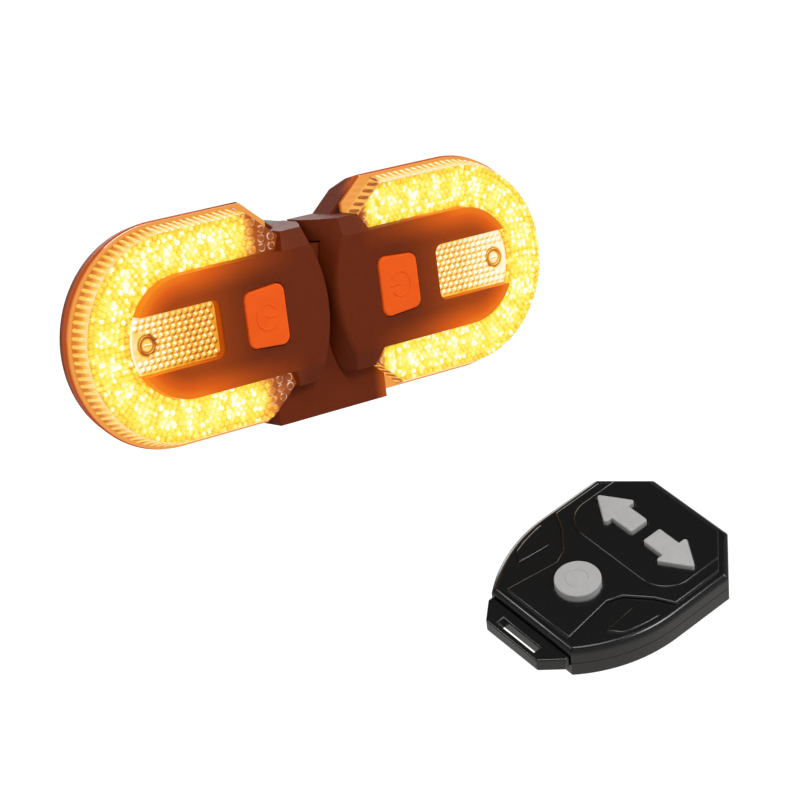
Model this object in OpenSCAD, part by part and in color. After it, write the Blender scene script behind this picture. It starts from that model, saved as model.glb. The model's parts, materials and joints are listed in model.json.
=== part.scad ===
/* [Post mount] */
// Diameter of the seat post that the strap goes round
post_d = 31.6; // [27.2:0.1:34.9]
// Thickness of the rubber pad in the saddle
pad_t = 2; // [1.5:0.1:3]
// Height of the pad and of the strap along the post
band_h = 18; // [14:1:21]
// Thickness of the silicone strap
strap_t = 2.2; // [1.6:0.1:3]
// Side wall of the saddle outside the pad
saddle_side = 3.2; // [2.6:0.1:5]
// Front wall of the saddle, between the pad and the knuckle
saddle_front = 5.2; // [4:0.1:7]
// Height of the saddle
saddle_h = 24; // [22:1:32]
// How far the saddle's arms stop in front of the post axis
arm_stop = 5; // [4:0.5:7]
// Diameter of the pegs that hold the strap's ends
peg_d = 4; // [3:0.5:5]
// How far the pegs stand in front of the arms' ends
peg_back = 6.5; // [6:0.5:8]
// Thickness of the pegs' heads
peg_head_t = 1.8; // [1.2:0.1:2.5]

/* [Tilt knuckle] */
// Distance from the saddle's front face to the tilt axis
knuckle_reach = 10; // [9:0.5:14]
// Radius of the knuckle's round ends
knuckle_r = 6.5; // [5.5:0.5:8]
// Width of the saddle's tongue
tongue_w = 8; // [6:0.5:12]
// Thickness of each ear of the holder
ear_t = 4; // [3:0.5:6]
// Diameter of the tilt screw
tilt_d = 5; // [4:0.5:6]
// Distance from the tilt axis to the back of the holder's plate
holder_reach = 10.5; // [10:0.5:16]

/* [Holder] */
// Thickness of the holder's plate
plate_t = 3.5; // [3:0.1:5]
// Half width of the holder's plate
plate_half = 15; // [12:0.5:16]
// How far the plate's top edge lies below the top of the pods' necks
plate_drop = 2.5; // [2:0.5:6]
// Depth of the web between the plate and the rail
web_d = 7.3; // [6.5:0.1:8]
// Half width of the web
web_half = 3; // [2.5:0.1:3.5]
// Thickness of the rail that the two pods hook onto
rail_t = 2.9; // [2.4:0.1:3.4]
// Half width of the rail
rail_half = 6.6; // [6:0.1:6.9]
// How far the rail's top lies below the top of the pods' necks
rail_drop = 5; // [4.5:0.1:7]
// How far the shelf reaches below the pods
shelf_under = 1; // [0.6:0.1:3]
// Half width of the shelf
shelf_half = 15; // [13:0.2:16]

/* [Pod] */
// Height of a pod
pod_h = 50; // [49:0.5:54]
// Distance from the lamp's middle to a pod's round end
pod_end = 65; // [62:0.5:72]
// Where the sloping inner end starts on the top and bottom edges
slope_x = 16.8; // [16:0.2:18]
// Angle of the sloping inner end from the long edge
slope_a = 40; // [38:1:44]
// Height of the neck that carries the hook
neck_h = 35; // [34:0.2:36]
// Depth of the bezel's neck in front of the rail
neck_t = 4.9; // [4.7:0.1:5.6]
// Width of the rim of the rear case, front to back
rim_w = 3.3; // [3:0.1:4]
// Draw-in of the rim's back from the pod's edge
rim_in = 0.8; // [0.5:0.1:1]
// Depth of the hump behind the rim
hump_d = 8.1; // [7.8:0.1:10]
// Draw-in of the hump's back from the pod's edge
hump_in = 6.3; // [5.5:0.1:7]
// Wall of the rear case
case_wall = 2.4; // [2.2:0.1:2.8]
// Wall of the back of the hump
back_wall = 1.8; // [1.6:0.1:2.2]

/* [Bezel] */
// Height of the bezel's tongue
tongue_h = 27; // [26:0.5:28]
// Width of the lens from the tongue's round end to the pod's
tongue_gap = 12.7; // [11:0.1:14]
// Thickness of the bezel's face
face_t = 2.4; // [2:0.1:2.6]
// Wall of the bezel's skirt
skirt_t = 1.5; // [1.2:0.1:2]
// Where the shoulders of the neck leave the tongue
shoulder_x = 12.3; // [11.8:0.1:12.6]
// Lean of the shoulders' ends from upright
shoulder_lean = 22; // [16:1:26]
// Depth of the shoulders' bevel
shoulder_d = 2.1; // [1.6:0.1:4]
// Half of the gap between the two pods at mid height
mid_gap = 0.6; // [0.4:0.1:1]
// Radius of the bowed inner ends
bow_r = 32; // [28:1:40]
// How far the bowed end's front edge rolls back
roll_in = 1.4; // [0.8:0.1:2]
// Depth of the roll
roll_d = 2.6; // [1.6:0.1:3.2]
// Where the reflector's window starts
window_x = 30; // [28:0.5:32]
// Height of the reflector's window
window_h = 13; // [12:0.2:14]

/* [Lens] */
// Depth of the lens's face behind the bezel's face
lens_face = 2.6; // [2.4:0.1:3]
// Draw-in of the lens's face from the pod's edge
lens_in = 2.2; // [1.8:0.1:2.6]
// Draw-in of the lens's foot from the pod's edge
foot_in = 0.9; // [0.6:0.1:1.4]
// Draw-in of the lens's sloping ends from the pod's edge
end_in = 2.7; // [2.5:0.1:3]
// Wall of the lens
lens_wall = 1.7; // [1.4:0.1:2]
// Thickness of the lens's flange
flange_t = 1.2; // [1:0.1:1.4]
// Draw-in of the lens's flange from the pod's edge
flange_in = 0.2; // [0.1:0.1:0.5]
// Depth of the reflector's face behind the bezel's face
reflector_face = 2.3; // [2:0.1:2.8]
// Thickness of the reflector
reflector_t = 2; // [1.6:0.1:2.4]

/* [Electronics] */
// Thickness of the circuit boards
board_t = 1.2; // [1:0.1:1.4]
// Spacing of the LEDs
led_pitch = 6.2; // [5.5:0.1:7.5]
// Side of an LED
led_s = 3; // [2:0.1:3.5]
// Height of an LED
led_h = 1.4; // [1:0.1:1.6]
// Side of the switch under a power button
switch_s = 6; // [5:0.5:6.5]
// Length of the battery
battery_l = 18; // [14:0.5:19]
// Height of the battery
battery_h = 21; // [16:0.5:21.5]
// Gap between the battery and the back of the hump
battery_gap = 0.3; // [0.2:0.1:0.6]
// Width of the charging socket
usb_w = 9; // [8.4:0.1:9.4]
// Thickness of the charging socket
usb_t = 3.2; // [3:0.1:3.4]
// Where the charging socket stands along the pod
usb_x = 32; // [31:0.5:36]
// How far the charging socket stands below the middle
usb_low = 11.4; // [11:0.1:11.8]

/* [Power button] */
// Inner edge of the power button
button_x0 = 13.2; // [13:0.1:14]
// Outer edge of the power button
button_x1 = 24; // [22:0.1:24.5]
// Height of the power button at its inner edge
button_h0 = 14; // [12:0.2:15]
// Height of the power button at its outer edge
button_h1 = 12.4; // [11:0.2:14]
// How far the power button stands proud of the bezel
button_proud = 0.4; // [0.3:0.1:0.8]
// Travel of every button
button_travel = 0.5; // [0.3:0.1:0.6]

/* [Remote] */
// Length of the remote's case without its tab
remote_l = 49.2; // [48:0.2:53]
// Width of the remote's case
remote_w = 43.2; // [42.6:0.2:47]
// Width of the remote's far end
remote_end_w = 23.7; // [22:0.1:26]
// Length of the corners cut off the far end
remote_cut = 9.5; // [8:0.1:10]
// Length of the straight sides
remote_side = 16.2; // [15:0.2:18]
// Radius of the bowed sides
remote_bow = 36.3; // [35.5:0.1:42]
// Depth of the remote from its panel to its floor
remote_d = 9.2; // [9.2:0.1:11]
// Wall of the remote's case
remote_wall = 1.6; // [1.3:0.1:1.8]
// How far the tab stands out
tab_l = 5.9; // [5.4:0.1:8]
// Width of the tab's front edge
tab_w = 16.7; // [14:0.1:18]
// Thickness of the tab
tab_t = 3.4; // [2.5:0.1:3.6]
// Length of the slot in the tab
slot_l = 12; // [8:0.2:13]
// Width of the slot in the tab
slot_w = 1.8; // [1.6:0.1:2.4]
// Radius of the round button
round_r = 5.3; // [4.5:0.1:5.6]
// Length of an arrow button
arrow_l = 14; // [12:0.2:14.4]
// Width of an arrow's head
arrow_w = 10; // [9:0.2:11]
// Diameter of the coin cell
cell_d = 20; // [16:0.5:20]
// Thickness of the coin cell
cell_t = 1.6; // [1.2:0.1:1.6]
// Sideways place of the remote
remote_x = 33.2; // [20:0.1:60]
// How far the remote stands in front of the lamp's face
remote_ahead = 41.9; // [36:0.1:80]
// How far the remote lies below the lamp's middle
remote_below = 64.5; // [60:0.1:90]

/* [Hidden] */
$fn = 64;

// Clearances: between fixed pieces, along slides, round pins, round buttons and under their rims
fit = 0.15;
slide = 0.4;
pin_fit = 0.05;
key_fit = 0.25;
lift = 0.1;
// How far a cut runs past the face that it opens
past = 1;

// Post mount
post_r = post_d / 2;
seat_r = post_r + pad_t;
side_x = seat_r + saddle_side;
saddle_y = -seat_r - saddle_front;
saddle_r = norm([side_x, saddle_y]) - saddle_front;
peg_y = -arm_stop - peg_back;
peg_head_x = side_x + strap_t + fit;
peg_head_r = peg_d / 2 + 1.4;
strap_end_r = peg_d / 2 + 3.5;

// Depth chain from the post axis forwards
tilt_y = saddle_y - knuckle_reach;
plate_back = tilt_y - holder_reach;
plate_front = plate_back - plate_t;
rail_back = plate_front - web_d;
rail_front = rail_back - rail_t;
face_y = rail_front - slide - neck_t;

// Tilt screw
ear_x0 = tongue_w / 2 + key_fit;
ear_x1 = ear_x0 + ear_t;
nut_t = 0.8 * tilt_d;
nut_r = 0.92 * tilt_d;
head_t = 0.6 * tilt_d;
head_r = 0.85 * tilt_d;
hex_r = 0.46 * tilt_d;
screw_end = nut_t + 1;

// Rounded corners of the holder's plate and rail
plate_round = 2;
rail_round = 1.5;

// Pod outline, and depths behind the bezel's face
pod_r = pod_h / 2;
pod_x = pod_end - pod_r;
neck_r = neck_h / 2;
hook_x = web_half + slide;
rim_front = neck_t + slide + rail_t + slide;
rim_back = rim_front + rim_w;
hook_back = rim_front + web_d - 2 * slide;
case_back = rim_back + hump_d;
hump_slope = (hump_in - rim_in) / hump_d;
hump_x = slope_x + 0.7;
hump_lean = 4.5;
tongue_r = tongue_h / 2;
tongue_x = pod_end - tongue_gap - tongue_r;
roll_steps = 6;
roll_slice = 0.01;
window_r = window_h / 2;
window_round = 2;
window_frame = 1.2;
frame_back = reflector_face + reflector_t - pin_fit;
reflector_flange = 1;
flange_front = rim_front - flange_t;
rail_top = neck_r - rail_drop;
pocket_x = rail_half + slide;
pocket_top = rail_top + slide;
groove_in = 0.8;
groove_w = 1;
groove_d = 0.8;

// Case screws
screw_r = 0.9;
screw_head_r = 1.8;
screw_head_t = 1.3;
boss_r = 2.2;
boss_x = tongue_x + tongue_r - skirt_t - boss_r - fit;
neck_screw_x = pocket_x + screw_r + 0.7;
neck_screw_z = neck_r - 3.2;
neck_screw_front = 4.6;
boss_screw_front = reflector_face + reflector_t + 1.5;

// Circuit board, switch, battery and power button
board_in = case_wall + fit;
board_back = rim_back - pin_fit;
board_front = board_back - board_t;
board_x = neck_screw_x + screw_r + 1.3;
led_r = (tongue_r + pod_r - case_wall) / 2;
led_front = board_front - led_h;
arm_leds = floor((pod_x - slope_x) / led_pitch);
arc_leds = round(PI * led_r / led_pitch);
button_rim = 1.1;
button_rim_t = 0.8;
button_round = 2;
button_back = face_t + lift + button_rim_t;
plunger_front = button_back + button_travel + lift;
plunger_r = 1.6;
switch_body = 3.5;
switch_x = (button_x0 + button_x1) / 2;
chamber_x = pocket_x + 2.5;
battery_low = -8;
battery_round = 1.5;
battery_x = boss_x - boss_r - 1.2 - battery_l;

// Charging port and its lid
port_gap = 0.3;
port_r = usb_t / 2 + port_gap;
port_half = usb_w / 2 + port_gap;
usb_wall = 0.4;
usb_floor = 1;
usb_back = case_back - back_wall - 0.6;
flap_t = 1;
flap_margin = 1.6;
flap_half = port_half + flap_margin;
flap_rise = port_r + flap_margin;
flap_round = 1.2;
flap_pin_r = 0.6;
flap_stub_r = 0.35;
flap_stub_l = 0.9;
flap_pin_z = -usb_low - flap_rise - flap_pin_r - 0.5;
flap_plug = 0.9;
plug_fit = 0.35;

// Remote, in its own frame: +Y to the far end, +Z out of the panel, arrow panel at 0
remote_turn = [20, 25, -87];
remote_half = remote_w / 2;
remote_far = 27.7;
remote_near = remote_far - remote_l;
bow_y = remote_far - remote_cut - remote_side;
split = -5.2;
cover_edge = -2.2;
cover_top = -1.2;
cover_bevel = 1.1;
wing_top = -0.8;
low_top = -0.5;
ceiling = -2.4;
key_top = 1;
round_top = 1.2;
key_rim = 0.9;
key_rim_t = 0.8;
key_back = ceiling - lift - key_rim_t;
remote_plunger = key_back - button_travel - lift;
remote_switch_s = 4.6;
remote_board_t = 1;
remote_board_back = split - remote_board_t;
clip_t = 0.25;
clip_w = 6;
clip_back = remote_board_back - pin_fit - clip_t;
cell_top = clip_back - pin_fit;
floor_top = cell_top - cell_t - pin_fit;
cell_y = 9;
arrow_y = 13.6;
arrow_tail = 1.9;
arrow_neck = 5.2;
arrow_head = 7.8;
arrow_round = 0.6;
round_y = -7.1;
remote_boss_r = 2.1;
remote_screw_r = 0.9;
remote_head_r = 1.6;
remote_head_t = 0.7;
boss_side = 2.6;
far_boss_y = 3;
near_boss_x = 11.4;
near_boss_y = -16;
tab_top = -3.1;
tab_root = 1.4;
tab_flare = 4.2;
tab_round = 1;

// The remote's panels: the arrows' panel, the right side of the low panel from its near end, and a wing
panel_side = 4.6;
panel_half = remote_half - panel_side;
panel_y = 3.3;
panel_round = 7;
panel_far = remote_far + 2 * panel_round;
panel_in = cover_bevel + 1;
low_side = [
    [tab_w / 2 + 2.2, remote_near],
    [round_r + 3, round_y + 1],
    [round_r + 4.5, panel_y - 6],
    [remote_half - 6.6, panel_y - 1.7],
    [remote_half, panel_y + 1.7]
];
wing = [[14.2, -12.2], [remote_half, -7], [remote_half, 0.8], [18.3, -0.8], [13.3, -3.5]];

// Facets of a rounded corner
corner_steps = 8;

// Colours
black_plastic = [0.13, 0.11, 0.1];
black_rubber = [0.08, 0.08, 0.08];
amber_clear = [1, 0.72, 0.25, 0.6];
amber_light = [1, 0.75, 0.3];
amber_rubber = [0.95, 0.4, 0.08];
board_green = [0.1, 0.3, 0.18];
steel = [0.65, 0.66, 0.68];
foil = [0.75, 0.76, 0.78];
grey_rubber = [0.62, 0.62, 0.62];

function unit(v) = v / norm(v);

// The same point on the other side of the X axis
function across(v) = [v[0], -v[1]];

// Points round a corner of radius r, from the side towards one neighbour to the side towards the next
function corner(at, from, to, r) =
    let (
        u = unit(from - at),
        v = unit(to - at),
        half = acos(u * v) / 2,
        mid = at + unit(u + v) * r / sin(half),
        first = at + u * r / tan(half) - mid,
        last = at + v * r / tan(half) - mid
    )
    [for (k = [0 : corner_steps]) mid + r * unit(first * (corner_steps - k) + last * k)];

// Convex outline with every corner rounded
module rounded(points, r) {
    n = len(points);
    polygon([
        for (i = [0 : n - 1])
            each corner(points[i], points[(i + n - 1) % n], points[(i + 1) % n], r)
    ]);
}

// Corners of a rectangle from its lowest and highest corner
function corners(low, high) = [low, [high[0], low[1]], high, [low[0], high[1]]];

// A shape drawn in X and Z, run from one depth behind the bezel's face to another
module deep(from, to) {
    translate([0, face_y + to, 0])
        rotate([90, 0, 0])
            linear_extrude(to - from)
                children();
}

// A shape drawn in Y and Z, run along X
module along_x(from, to) {
    translate([from, 0, 0])
        rotate([90, 0, 90])
            linear_extrude(to - from)
                children();
}

// A shape drawn in X and Y, run along Z
module along_z(from, to) {
    translate([0, 0, from])
        linear_extrude(to - from)
            children();
}

// A round bar along Y between two depths behind the bezel's face
module bar_y(place, r, from, to) {
    translate([place[0], face_y + from, place[1]])
        rotate([-90, 0, 0])
            cylinder(h = to - from, r = r);
}

// A round bar along X
module bar_x(y, z, r, from, to) {
    translate([from, y, z])
        rotate([0, 90, 0])
            cylinder(h = to - from, r = r);
}

// Something drawn on the +X side, and its mirror image
module both_sides() {
    children();
    mirror([1, 0, 0])
        children();
}

// Saddle with its seat for the pad, the strap's pegs and the tilt tongue
module saddle() {
    color(black_plastic)
        difference() {
            union() {
                along_z(-saddle_h / 2, saddle_h / 2)
                    difference() {
                        intersection() {
                            polygon(corners([-side_x, saddle_y], [side_x, -arm_stop]));
                            circle(saddle_r);
                        }
                        circle(seat_r);
                    }
                along_x(-tongue_w / 2, tongue_w / 2) {
                    translate([tilt_y, 0])
                        circle(knuckle_r);
                    polygon(corners([tilt_y, -knuckle_r], [saddle_y + saddle_front / 2, knuckle_r]));
                }
                both_sides() {
                    bar_x(peg_y, 0, peg_d / 2, side_x - saddle_side / 2, peg_head_x + peg_head_t);
                    bar_x(peg_y, 0, peg_head_r, peg_head_x, peg_head_x + peg_head_t);
                }
            }
            bar_x(tilt_y, 0, tilt_d / 2 + pin_fit, -tongue_w, tongue_w);
        }
}

// Rubber pad between the saddle and the post
module saddle_pad() {
    color(black_rubber)
        along_z(-band_h / 2, band_h / 2)
            difference() {
                circle(seat_r);
                circle(post_r);
                polygon(corners([-seat_r - past, -arm_stop], [seat_r + past, seat_r + past]));
            }
}

// Strap stretched round the back of the post between the saddle's two pegs
module strap() {
    corner = [side_x, -arm_stop];
    meet_a = acos(post_r / norm(corner)) - atan2(arm_stop, side_x);
    meet = [cos(meet_a), sin(meet_a)];
    reach = 2 * (post_r + strap_t);
    color(black_rubber)
        difference() {
            union() {
                along_z(-band_h / 2, band_h / 2) {
                    intersection() {
                        difference() {
                            circle(post_r + strap_t);
                            circle(post_r);
                        }
                        polygon([
                            [0, 0],
                            meet * reach,
                            [meet[0], 1 + meet[1]] * reach,
                            [-meet[0], 1 + meet[1]] * reach,
                            [-meet[0], meet[1]] * reach
                        ]);
                    }
                    both_sides()
                        polygon([
                            corner,
                            meet * post_r,
                            meet * (post_r + strap_t),
                            corner + meet * strap_t,
                            corner + unit(meet + [1, 0]) * strap_t,
                            corner + [strap_t, 0]
                        ]);
                }
                both_sides()
                    along_x(side_x, side_x + strap_t) {
                        polygon([
                            [-arm_stop, -band_h / 2],
                            [-arm_stop, band_h / 2],
                            [peg_y, strap_end_r],
                            [peg_y, -strap_end_r]
                        ]);
                        translate([peg_y, 0])
                            circle(strap_end_r);
                    }
            }
            bar_x(peg_y, 0, peg_d / 2 + pin_fit, -side_x - strap_t - past, side_x + strap_t + past);
        }
}

// Shelf's outline between two heights, below the pods' sloping ends drawn in by d
module under_slopes(low, high, d) {
    side_z = slope_top_z(d) + (slope_top_x(d) - shelf_half) * tan(slope_a);
    high_x = slope_top_x(d) - (high - slope_top_z(d)) / tan(slope_a);
    polygon([
        [-shelf_half, low],
        [shelf_half, low],
        [shelf_half, side_z],
        [high_x, high],
        [-high_x, high],
        [-shelf_half, side_z]
    ]);
}

// Holder: ears on the tilt screw, plate, rail for the pods and the shelf under them
module holder() {
    shelf_low = -pod_r - shelf_under;
    shelf_top = -neck_r - slide;
    shelf_front = flange_front - slide;
    plate_top = neck_r - plate_drop;
    color(black_plastic)
        difference() {
            union() {
                deep(plate_front - face_y, plate_back - face_y)
                    rounded(corners([-plate_half, shelf_low], [plate_half, plate_top]), plate_round);
                deep(rail_front - face_y, rail_back - face_y)
                    rounded(corners([-rail_half, shelf_low], [rail_half, rail_top]), rail_round);
                deep(rail_front - face_y + rail_t / 2, plate_back - face_y - plate_t / 2)
                    polygon(corners([-web_half, shelf_low], [web_half, rail_top]));
                deep(shelf_front, plate_back - face_y)
                    under_slopes(shelf_low, shelf_top, -slide);
                deep(rail_front - face_y, shelf_front)
                    under_slopes(shelf_low, shelf_top, end_in - slide);
                both_sides()
                    along_x(ear_x0, ear_x1) {
                        translate([tilt_y, 0])
                            circle(knuckle_r);
                        polygon(corners([plate_back - plate_t / 2, -knuckle_r], [tilt_y, knuckle_r]));
                    }
            }
            bar_x(tilt_y, 0, tilt_d / 2 + pin_fit, -ear_x1 - past, ear_x1 + past);
        }
}

// Socket-head screw through the holder's ears and the saddle's tongue
module tilt_screw() {
    color(steel)
        difference() {
            union() {
                bar_x(tilt_y, 0, tilt_d / 2, -ear_x1 - screw_end, ear_x1 + lift + head_t);
                bar_x(tilt_y, 0, head_r, ear_x1 + lift, ear_x1 + lift + head_t);
            }
            translate([ear_x1 + lift + head_t / 2, tilt_y, 0])
                rotate([0, 90, 0])
                    cylinder(h = head_t, r = hex_r, $fn = 6);
        }
}

module tilt_nut() {
    color(steel)
        difference() {
            translate([-ear_x1 - lift - nut_t, tilt_y, 0])
                rotate([0, 90, 0])
                    cylinder(h = nut_t, r = nut_r, $fn = 6);
            bar_x(tilt_y, 0, tilt_d / 2 + pin_fit, -ear_x1 - screw_end, -ear_x1 + past);
        }
}

// Where the sloping inner end, drawn in by d, meets the lower long edge and the neck
function slope_top_x(d) = slope_x + d * tan(slope_a / 2);
function slope_top_z(d) = d - pod_r;
function slope_neck_x(d) = slope_top_x(d) - (pod_r - neck_r) / tan(slope_a);

// Everything on the outer side of the two sloping ends, drawn in by d
module beyond_slopes(d) {
    tall = pod_r + past;
    far_x = slope_top_x(d) + (tall - pod_r + d) / tan(slope_a);
    mid_x = slope_top_x(d) - (pod_r - d) / tan(slope_a);
    polygon([
        [mid_x, 0],
        [far_x, tall],
        [pod_end + past, tall],
        [pod_end + past, -tall],
        [far_x, -tall]
    ]);
}

// Tongue outline drawn out by d
module tongue_outline(d, inner) {
    translate([tongue_x, 0])
        circle(tongue_r + d);
    polygon(corners([inner, -tongue_r - d], [tongue_x, tongue_r + d]));
}

// Reflector's window drawn out by d, open at the tongue's round end
module window_outline(d) {
    rounded(corners([window_x - d, -window_r - d], [pod_end, window_r + d]), window_round + d);
}

// Form with a round outer end whose draw-in changes between two depths
module tapered_form(from, to, in_from, in_to, inner) {
    r_from = pod_r - in_from;
    r_to = pod_r - in_to;
    translate([pod_x, face_y + from, 0])
        rotate([-90, 0, 0])
            cylinder(h = to - from, r1 = r_from, r2 = r_to);
    along_x(inner, pod_x)
        polygon([
            [face_y + from, -r_from],
            [face_y + from, r_from],
            [face_y + to, r_to],
            [face_y + to, -r_to]
        ]);
}

// Slab of a pod's outline, drawn in by d: round end, straight edges, sloping inner end and neck;
// its round end and straight edges draw in further by the draft towards the back
module pod_slab(from, to, d, inner, draft = 0) {
    intersection() {
        tapered_form(from, to, d, d + draft, 0);
        deep(from, to)
            polygon([
                [0, neck_r - d],
                [slope_neck_x(d), neck_r - d],
                [slope_top_x(d), pod_r - d],
                [pod_end, pod_r - d],
                [pod_end, d - pod_r],
                [slope_top_x(d), d - pod_r],
                [slope_neck_x(d), d - neck_r],
                [0, d - neck_r]
            ]);
        deep(from, to)
            polygon(corners([inner, -pod_r], [pod_end, pod_r]));
    }
}

// Draw-in of the hump at a depth
function hump_draw(depth) = rim_in + (depth - rim_back) * hump_slope;

// Back of a pod, drawn in by d, with its leaning inner end
module hump(d, from, to) {
    intersection() {
        tapered_form(from, to, d + hump_draw(from), d + hump_draw(to), hump_x);
        along_z(-pod_r, pod_r)
            polygon([
                [hump_x + d, face_y + from],
                [hump_x + d + hump_lean, face_y + to],
                [pod_end, face_y + to],
                [pod_end, face_y + from]
            ]);
    }
}

// Places of the two screws in a pod's neck
module neck_screw_places() {
    for (z = [-neck_screw_z, neck_screw_z])
        translate([neck_screw_x, 0, z])
            children();
}

// Opening of the charging port, drawn out by d
module port_slot(d) {
    for (side = [-1, 1])
        translate([usb_x + side * (port_half - port_r), -usb_low])
            circle(port_r + d);
    polygon(corners(
        [usb_x - port_half + port_r, -usb_low - port_r - d],
        [usb_x + port_half - port_r, -usb_low + port_r + d]
    ));
}

// Lid of the charging port, drawn out by d, down to its hinge
module flap_outline(d) {
    intersection() {
        rounded(corners(
            [usb_x - flap_half - d, flap_pin_z - flap_rise],
            [usb_x + flap_half + d, flap_rise - usb_low + d]
        ), flap_round + d);
        polygon(corners([0, flap_pin_z], [pod_end, 0]));
    }
}

// A round bar on the lid's hinge
module flap_bar(r, half) {
    bar_x(face_y + case_back - flap_pin_r, flap_pin_z, r, usb_x - half, usb_x + half);
}

// Everything beyond a pod's inner end, which is bowed with a rolled edge at the face and straight at the back
module inner_end() {
    hull() {
        for (k = [0 : roll_steps]) {
            a = 90 * k / roll_steps;
            depth = roll_d * (1 - cos(a));
            deep(depth, depth + roll_slice)
                translate([mid_gap + bow_r, 0])
                    circle(bow_r - roll_in * (1 - sin(a)), $fn = 128);
        }
        deep(hook_back - roll_slice, hook_back)
            polygon(corners([mid_gap, -pod_r], [pod_end, pod_r]));
    }
}

// Ring that follows the rear case's rim between two draw-ins
module rim_ring(from, to, outer, inner) {
    difference() {
        pod_slab(from, to, outer, hook_x + outer);
        pod_slab(from - past, to + past, inner, hook_x + inner);
    }
}

// Rear case of a pod: rim, neck with its hook closed at the top, hump, and the seat of the port's lid
module rear_case() {
    color(black_plastic)
        difference() {
            union() {
                pod_slab(rim_front, rim_back, 0, hook_x, rim_in);
                intersection() {
                    pod_slab(rim_front, hook_back, 0, 0);
                    deep(rim_front, hook_back)
                        polygon(corners([0, pocket_top], [pocket_x, neck_r]));
                    inner_end();
                }
                intersection() {
                    pod_slab(rim_back, hook_back, 0, hook_x);
                    tapered_form(rim_back, hook_back, rim_in, hump_draw(hook_back), 0);
                    deep(rim_back, hook_back)
                        polygon(corners([0, -pod_r], [slope_x, pod_r]));
                }
                hump(0, rim_back, case_back);
            }
            difference() {
                union() {
                    pod_slab(rim_front - past, rim_back, case_wall, board_x - fit);
                    hump(case_wall, rim_back - pin_fit, case_back - back_wall);
                }
                bar_y([boss_x, 0], boss_r, board_back + pin_fit, case_back);
            }
            rim_ring(rim_front - past, rim_front + groove_d, groove_in, groove_in + groove_w);
            deep(case_back - back_wall - past, case_back + past)
                port_slot(0);
            deep(case_back - flap_t - fit, case_back + past)
                flap_outline(key_fit);
            deep(case_back - flap_pin_r, case_back + past)
                polygon(corners(
                    [usb_x - flap_half - key_fit, flap_pin_z - flap_pin_r - fit],
                    [usb_x + flap_half + key_fit, flap_pin_z]
                ));
            flap_bar(flap_pin_r + fit, flap_half + key_fit);
            flap_bar(flap_stub_r + pin_fit, flap_half + flap_stub_l + fit);
            bar_y([boss_x, 0], screw_r + pin_fit, board_back - past, case_back);
            bar_y([boss_x, 0], screw_head_r + fit, case_back - screw_head_t, case_back + past);
            neck_screw_places() {
                bar_y([0, 0], screw_r + pin_fit, rim_front - past, hook_back);
                bar_y([0, 0], screw_head_r + fit, hook_back - screw_head_t, hook_back + past);
            }
        }
}

// Where the leaning end of a shoulder, drawn out by d, reaches a height
function shoulder_end(d, z) = shoulder_x + d / cos(shoulder_lean) - (z - tongue_r) * tan(shoulder_lean);

// Neck outline drawn out by d, with the shoulders' leaning ends
module neck_outline(d) {
    top = neck_r + d;
    polygon([
        [0, -top],
        [shoulder_end(d, top), -top],
        [shoulder_end(d, tongue_r), -tongue_r],
        [shoulder_end(d, tongue_r), tongue_r],
        [shoulder_end(d, top), top],
        [0, top]
    ]);
}

// Bezel: tongue with prongs, bevelled neck with the rail's pocket, window and button opening
module front_bezel() {
    color(black_plastic)
        difference() {
            intersection() {
                union() {
                    deep(0, rim_front)
                        tongue_outline(0, 0);
                    intersection() {
                        deep(0, rim_front)
                            neck_outline(0);
                        along_x(0, shoulder_x)
                            polygon([
                                [face_y, -tongue_r],
                                [face_y, tongue_r],
                                [face_y + shoulder_d, neck_r],
                                [face_y + rim_front, neck_r],
                                [face_y + rim_front, -neck_r],
                                [face_y + shoulder_d, -neck_r]
                            ]);
                    }
                }
                inner_end();
            }
            deep(face_t, rim_front + past)
                difference() {
                    tongue_outline(-skirt_t, chamber_x);
                    window_outline(window_frame);
                }
            deep(frame_back, rim_front + past)
                tongue_outline(-skirt_t, chamber_x);
            deep(-past, frame_back + past)
                window_outline(0);
            deep(-past, face_t + past)
                button_outline(key_fit);
            deep(neck_t, rim_front + past)
                polygon(corners([-past, -pod_r], [pocket_x, pocket_top]));
            neck_screw_places()
                bar_y([0, 0], screw_r + pin_fit, neck_screw_front - lift, rim_front + past);
        }
}

// Opening in the lens for the bezel, drawn out by d
module bezel_opening(d) {
    tongue_outline(d, 0);
    neck_outline(d);
}

// Clear lens round the tongue: sloping outer wall, sloping ends and a flange on the rim
module lens() {
    hollow_in = foot_in + lens_wall;
    color(amber_clear)
        difference() {
            union() {
                intersection() {
                    tapered_form(lens_face, flange_front, lens_in, foot_in, 0);
                    deep(lens_face, flange_front)
                        beyond_slopes(end_in);
                }
                pod_slab(flange_front, rim_front, flange_in, shoulder_end(0, neck_r));
            }
            deep(lens_face - past, rim_front + past)
                bezel_opening(fit);
            difference() {
                intersection() {
                    union() {
                        tapered_form(lens_face + lens_wall, flange_front, lens_in + lens_wall, hollow_in, 0);
                        tapered_form(flange_front, rim_front + past, hollow_in, hollow_in, 0);
                    }
                    deep(lens_face, rim_front + past)
                        beyond_slopes(end_in + lens_wall);
                }
                deep(lens_face, rim_front + past)
                    bezel_opening(fit + lens_wall);
            }
        }
}

// Prismatic reflector in the bezel's window, with the boss for a case screw behind it
module reflector() {
    color(amber_light)
        difference() {
            union() {
                deep(reflector_face, reflector_face + reflector_t)
                    intersection() {
                        window_outline(-fit);
                        tongue_outline(0, 0);
                    }
                deep(reflector_face + reflector_t, reflector_face + reflector_t + reflector_flange)
                    intersection() {
                        window_outline(window_frame - fit);
                        tongue_outline(-skirt_t - fit, 0);
                    }
                bar_y([boss_x, 0], boss_r - fit, reflector_face + reflector_t, board_front - pin_fit);
            }
            bar_y([boss_x, 0], screw_r + pin_fit, boss_screw_front - lift, board_front + past);
        }
}

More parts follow.
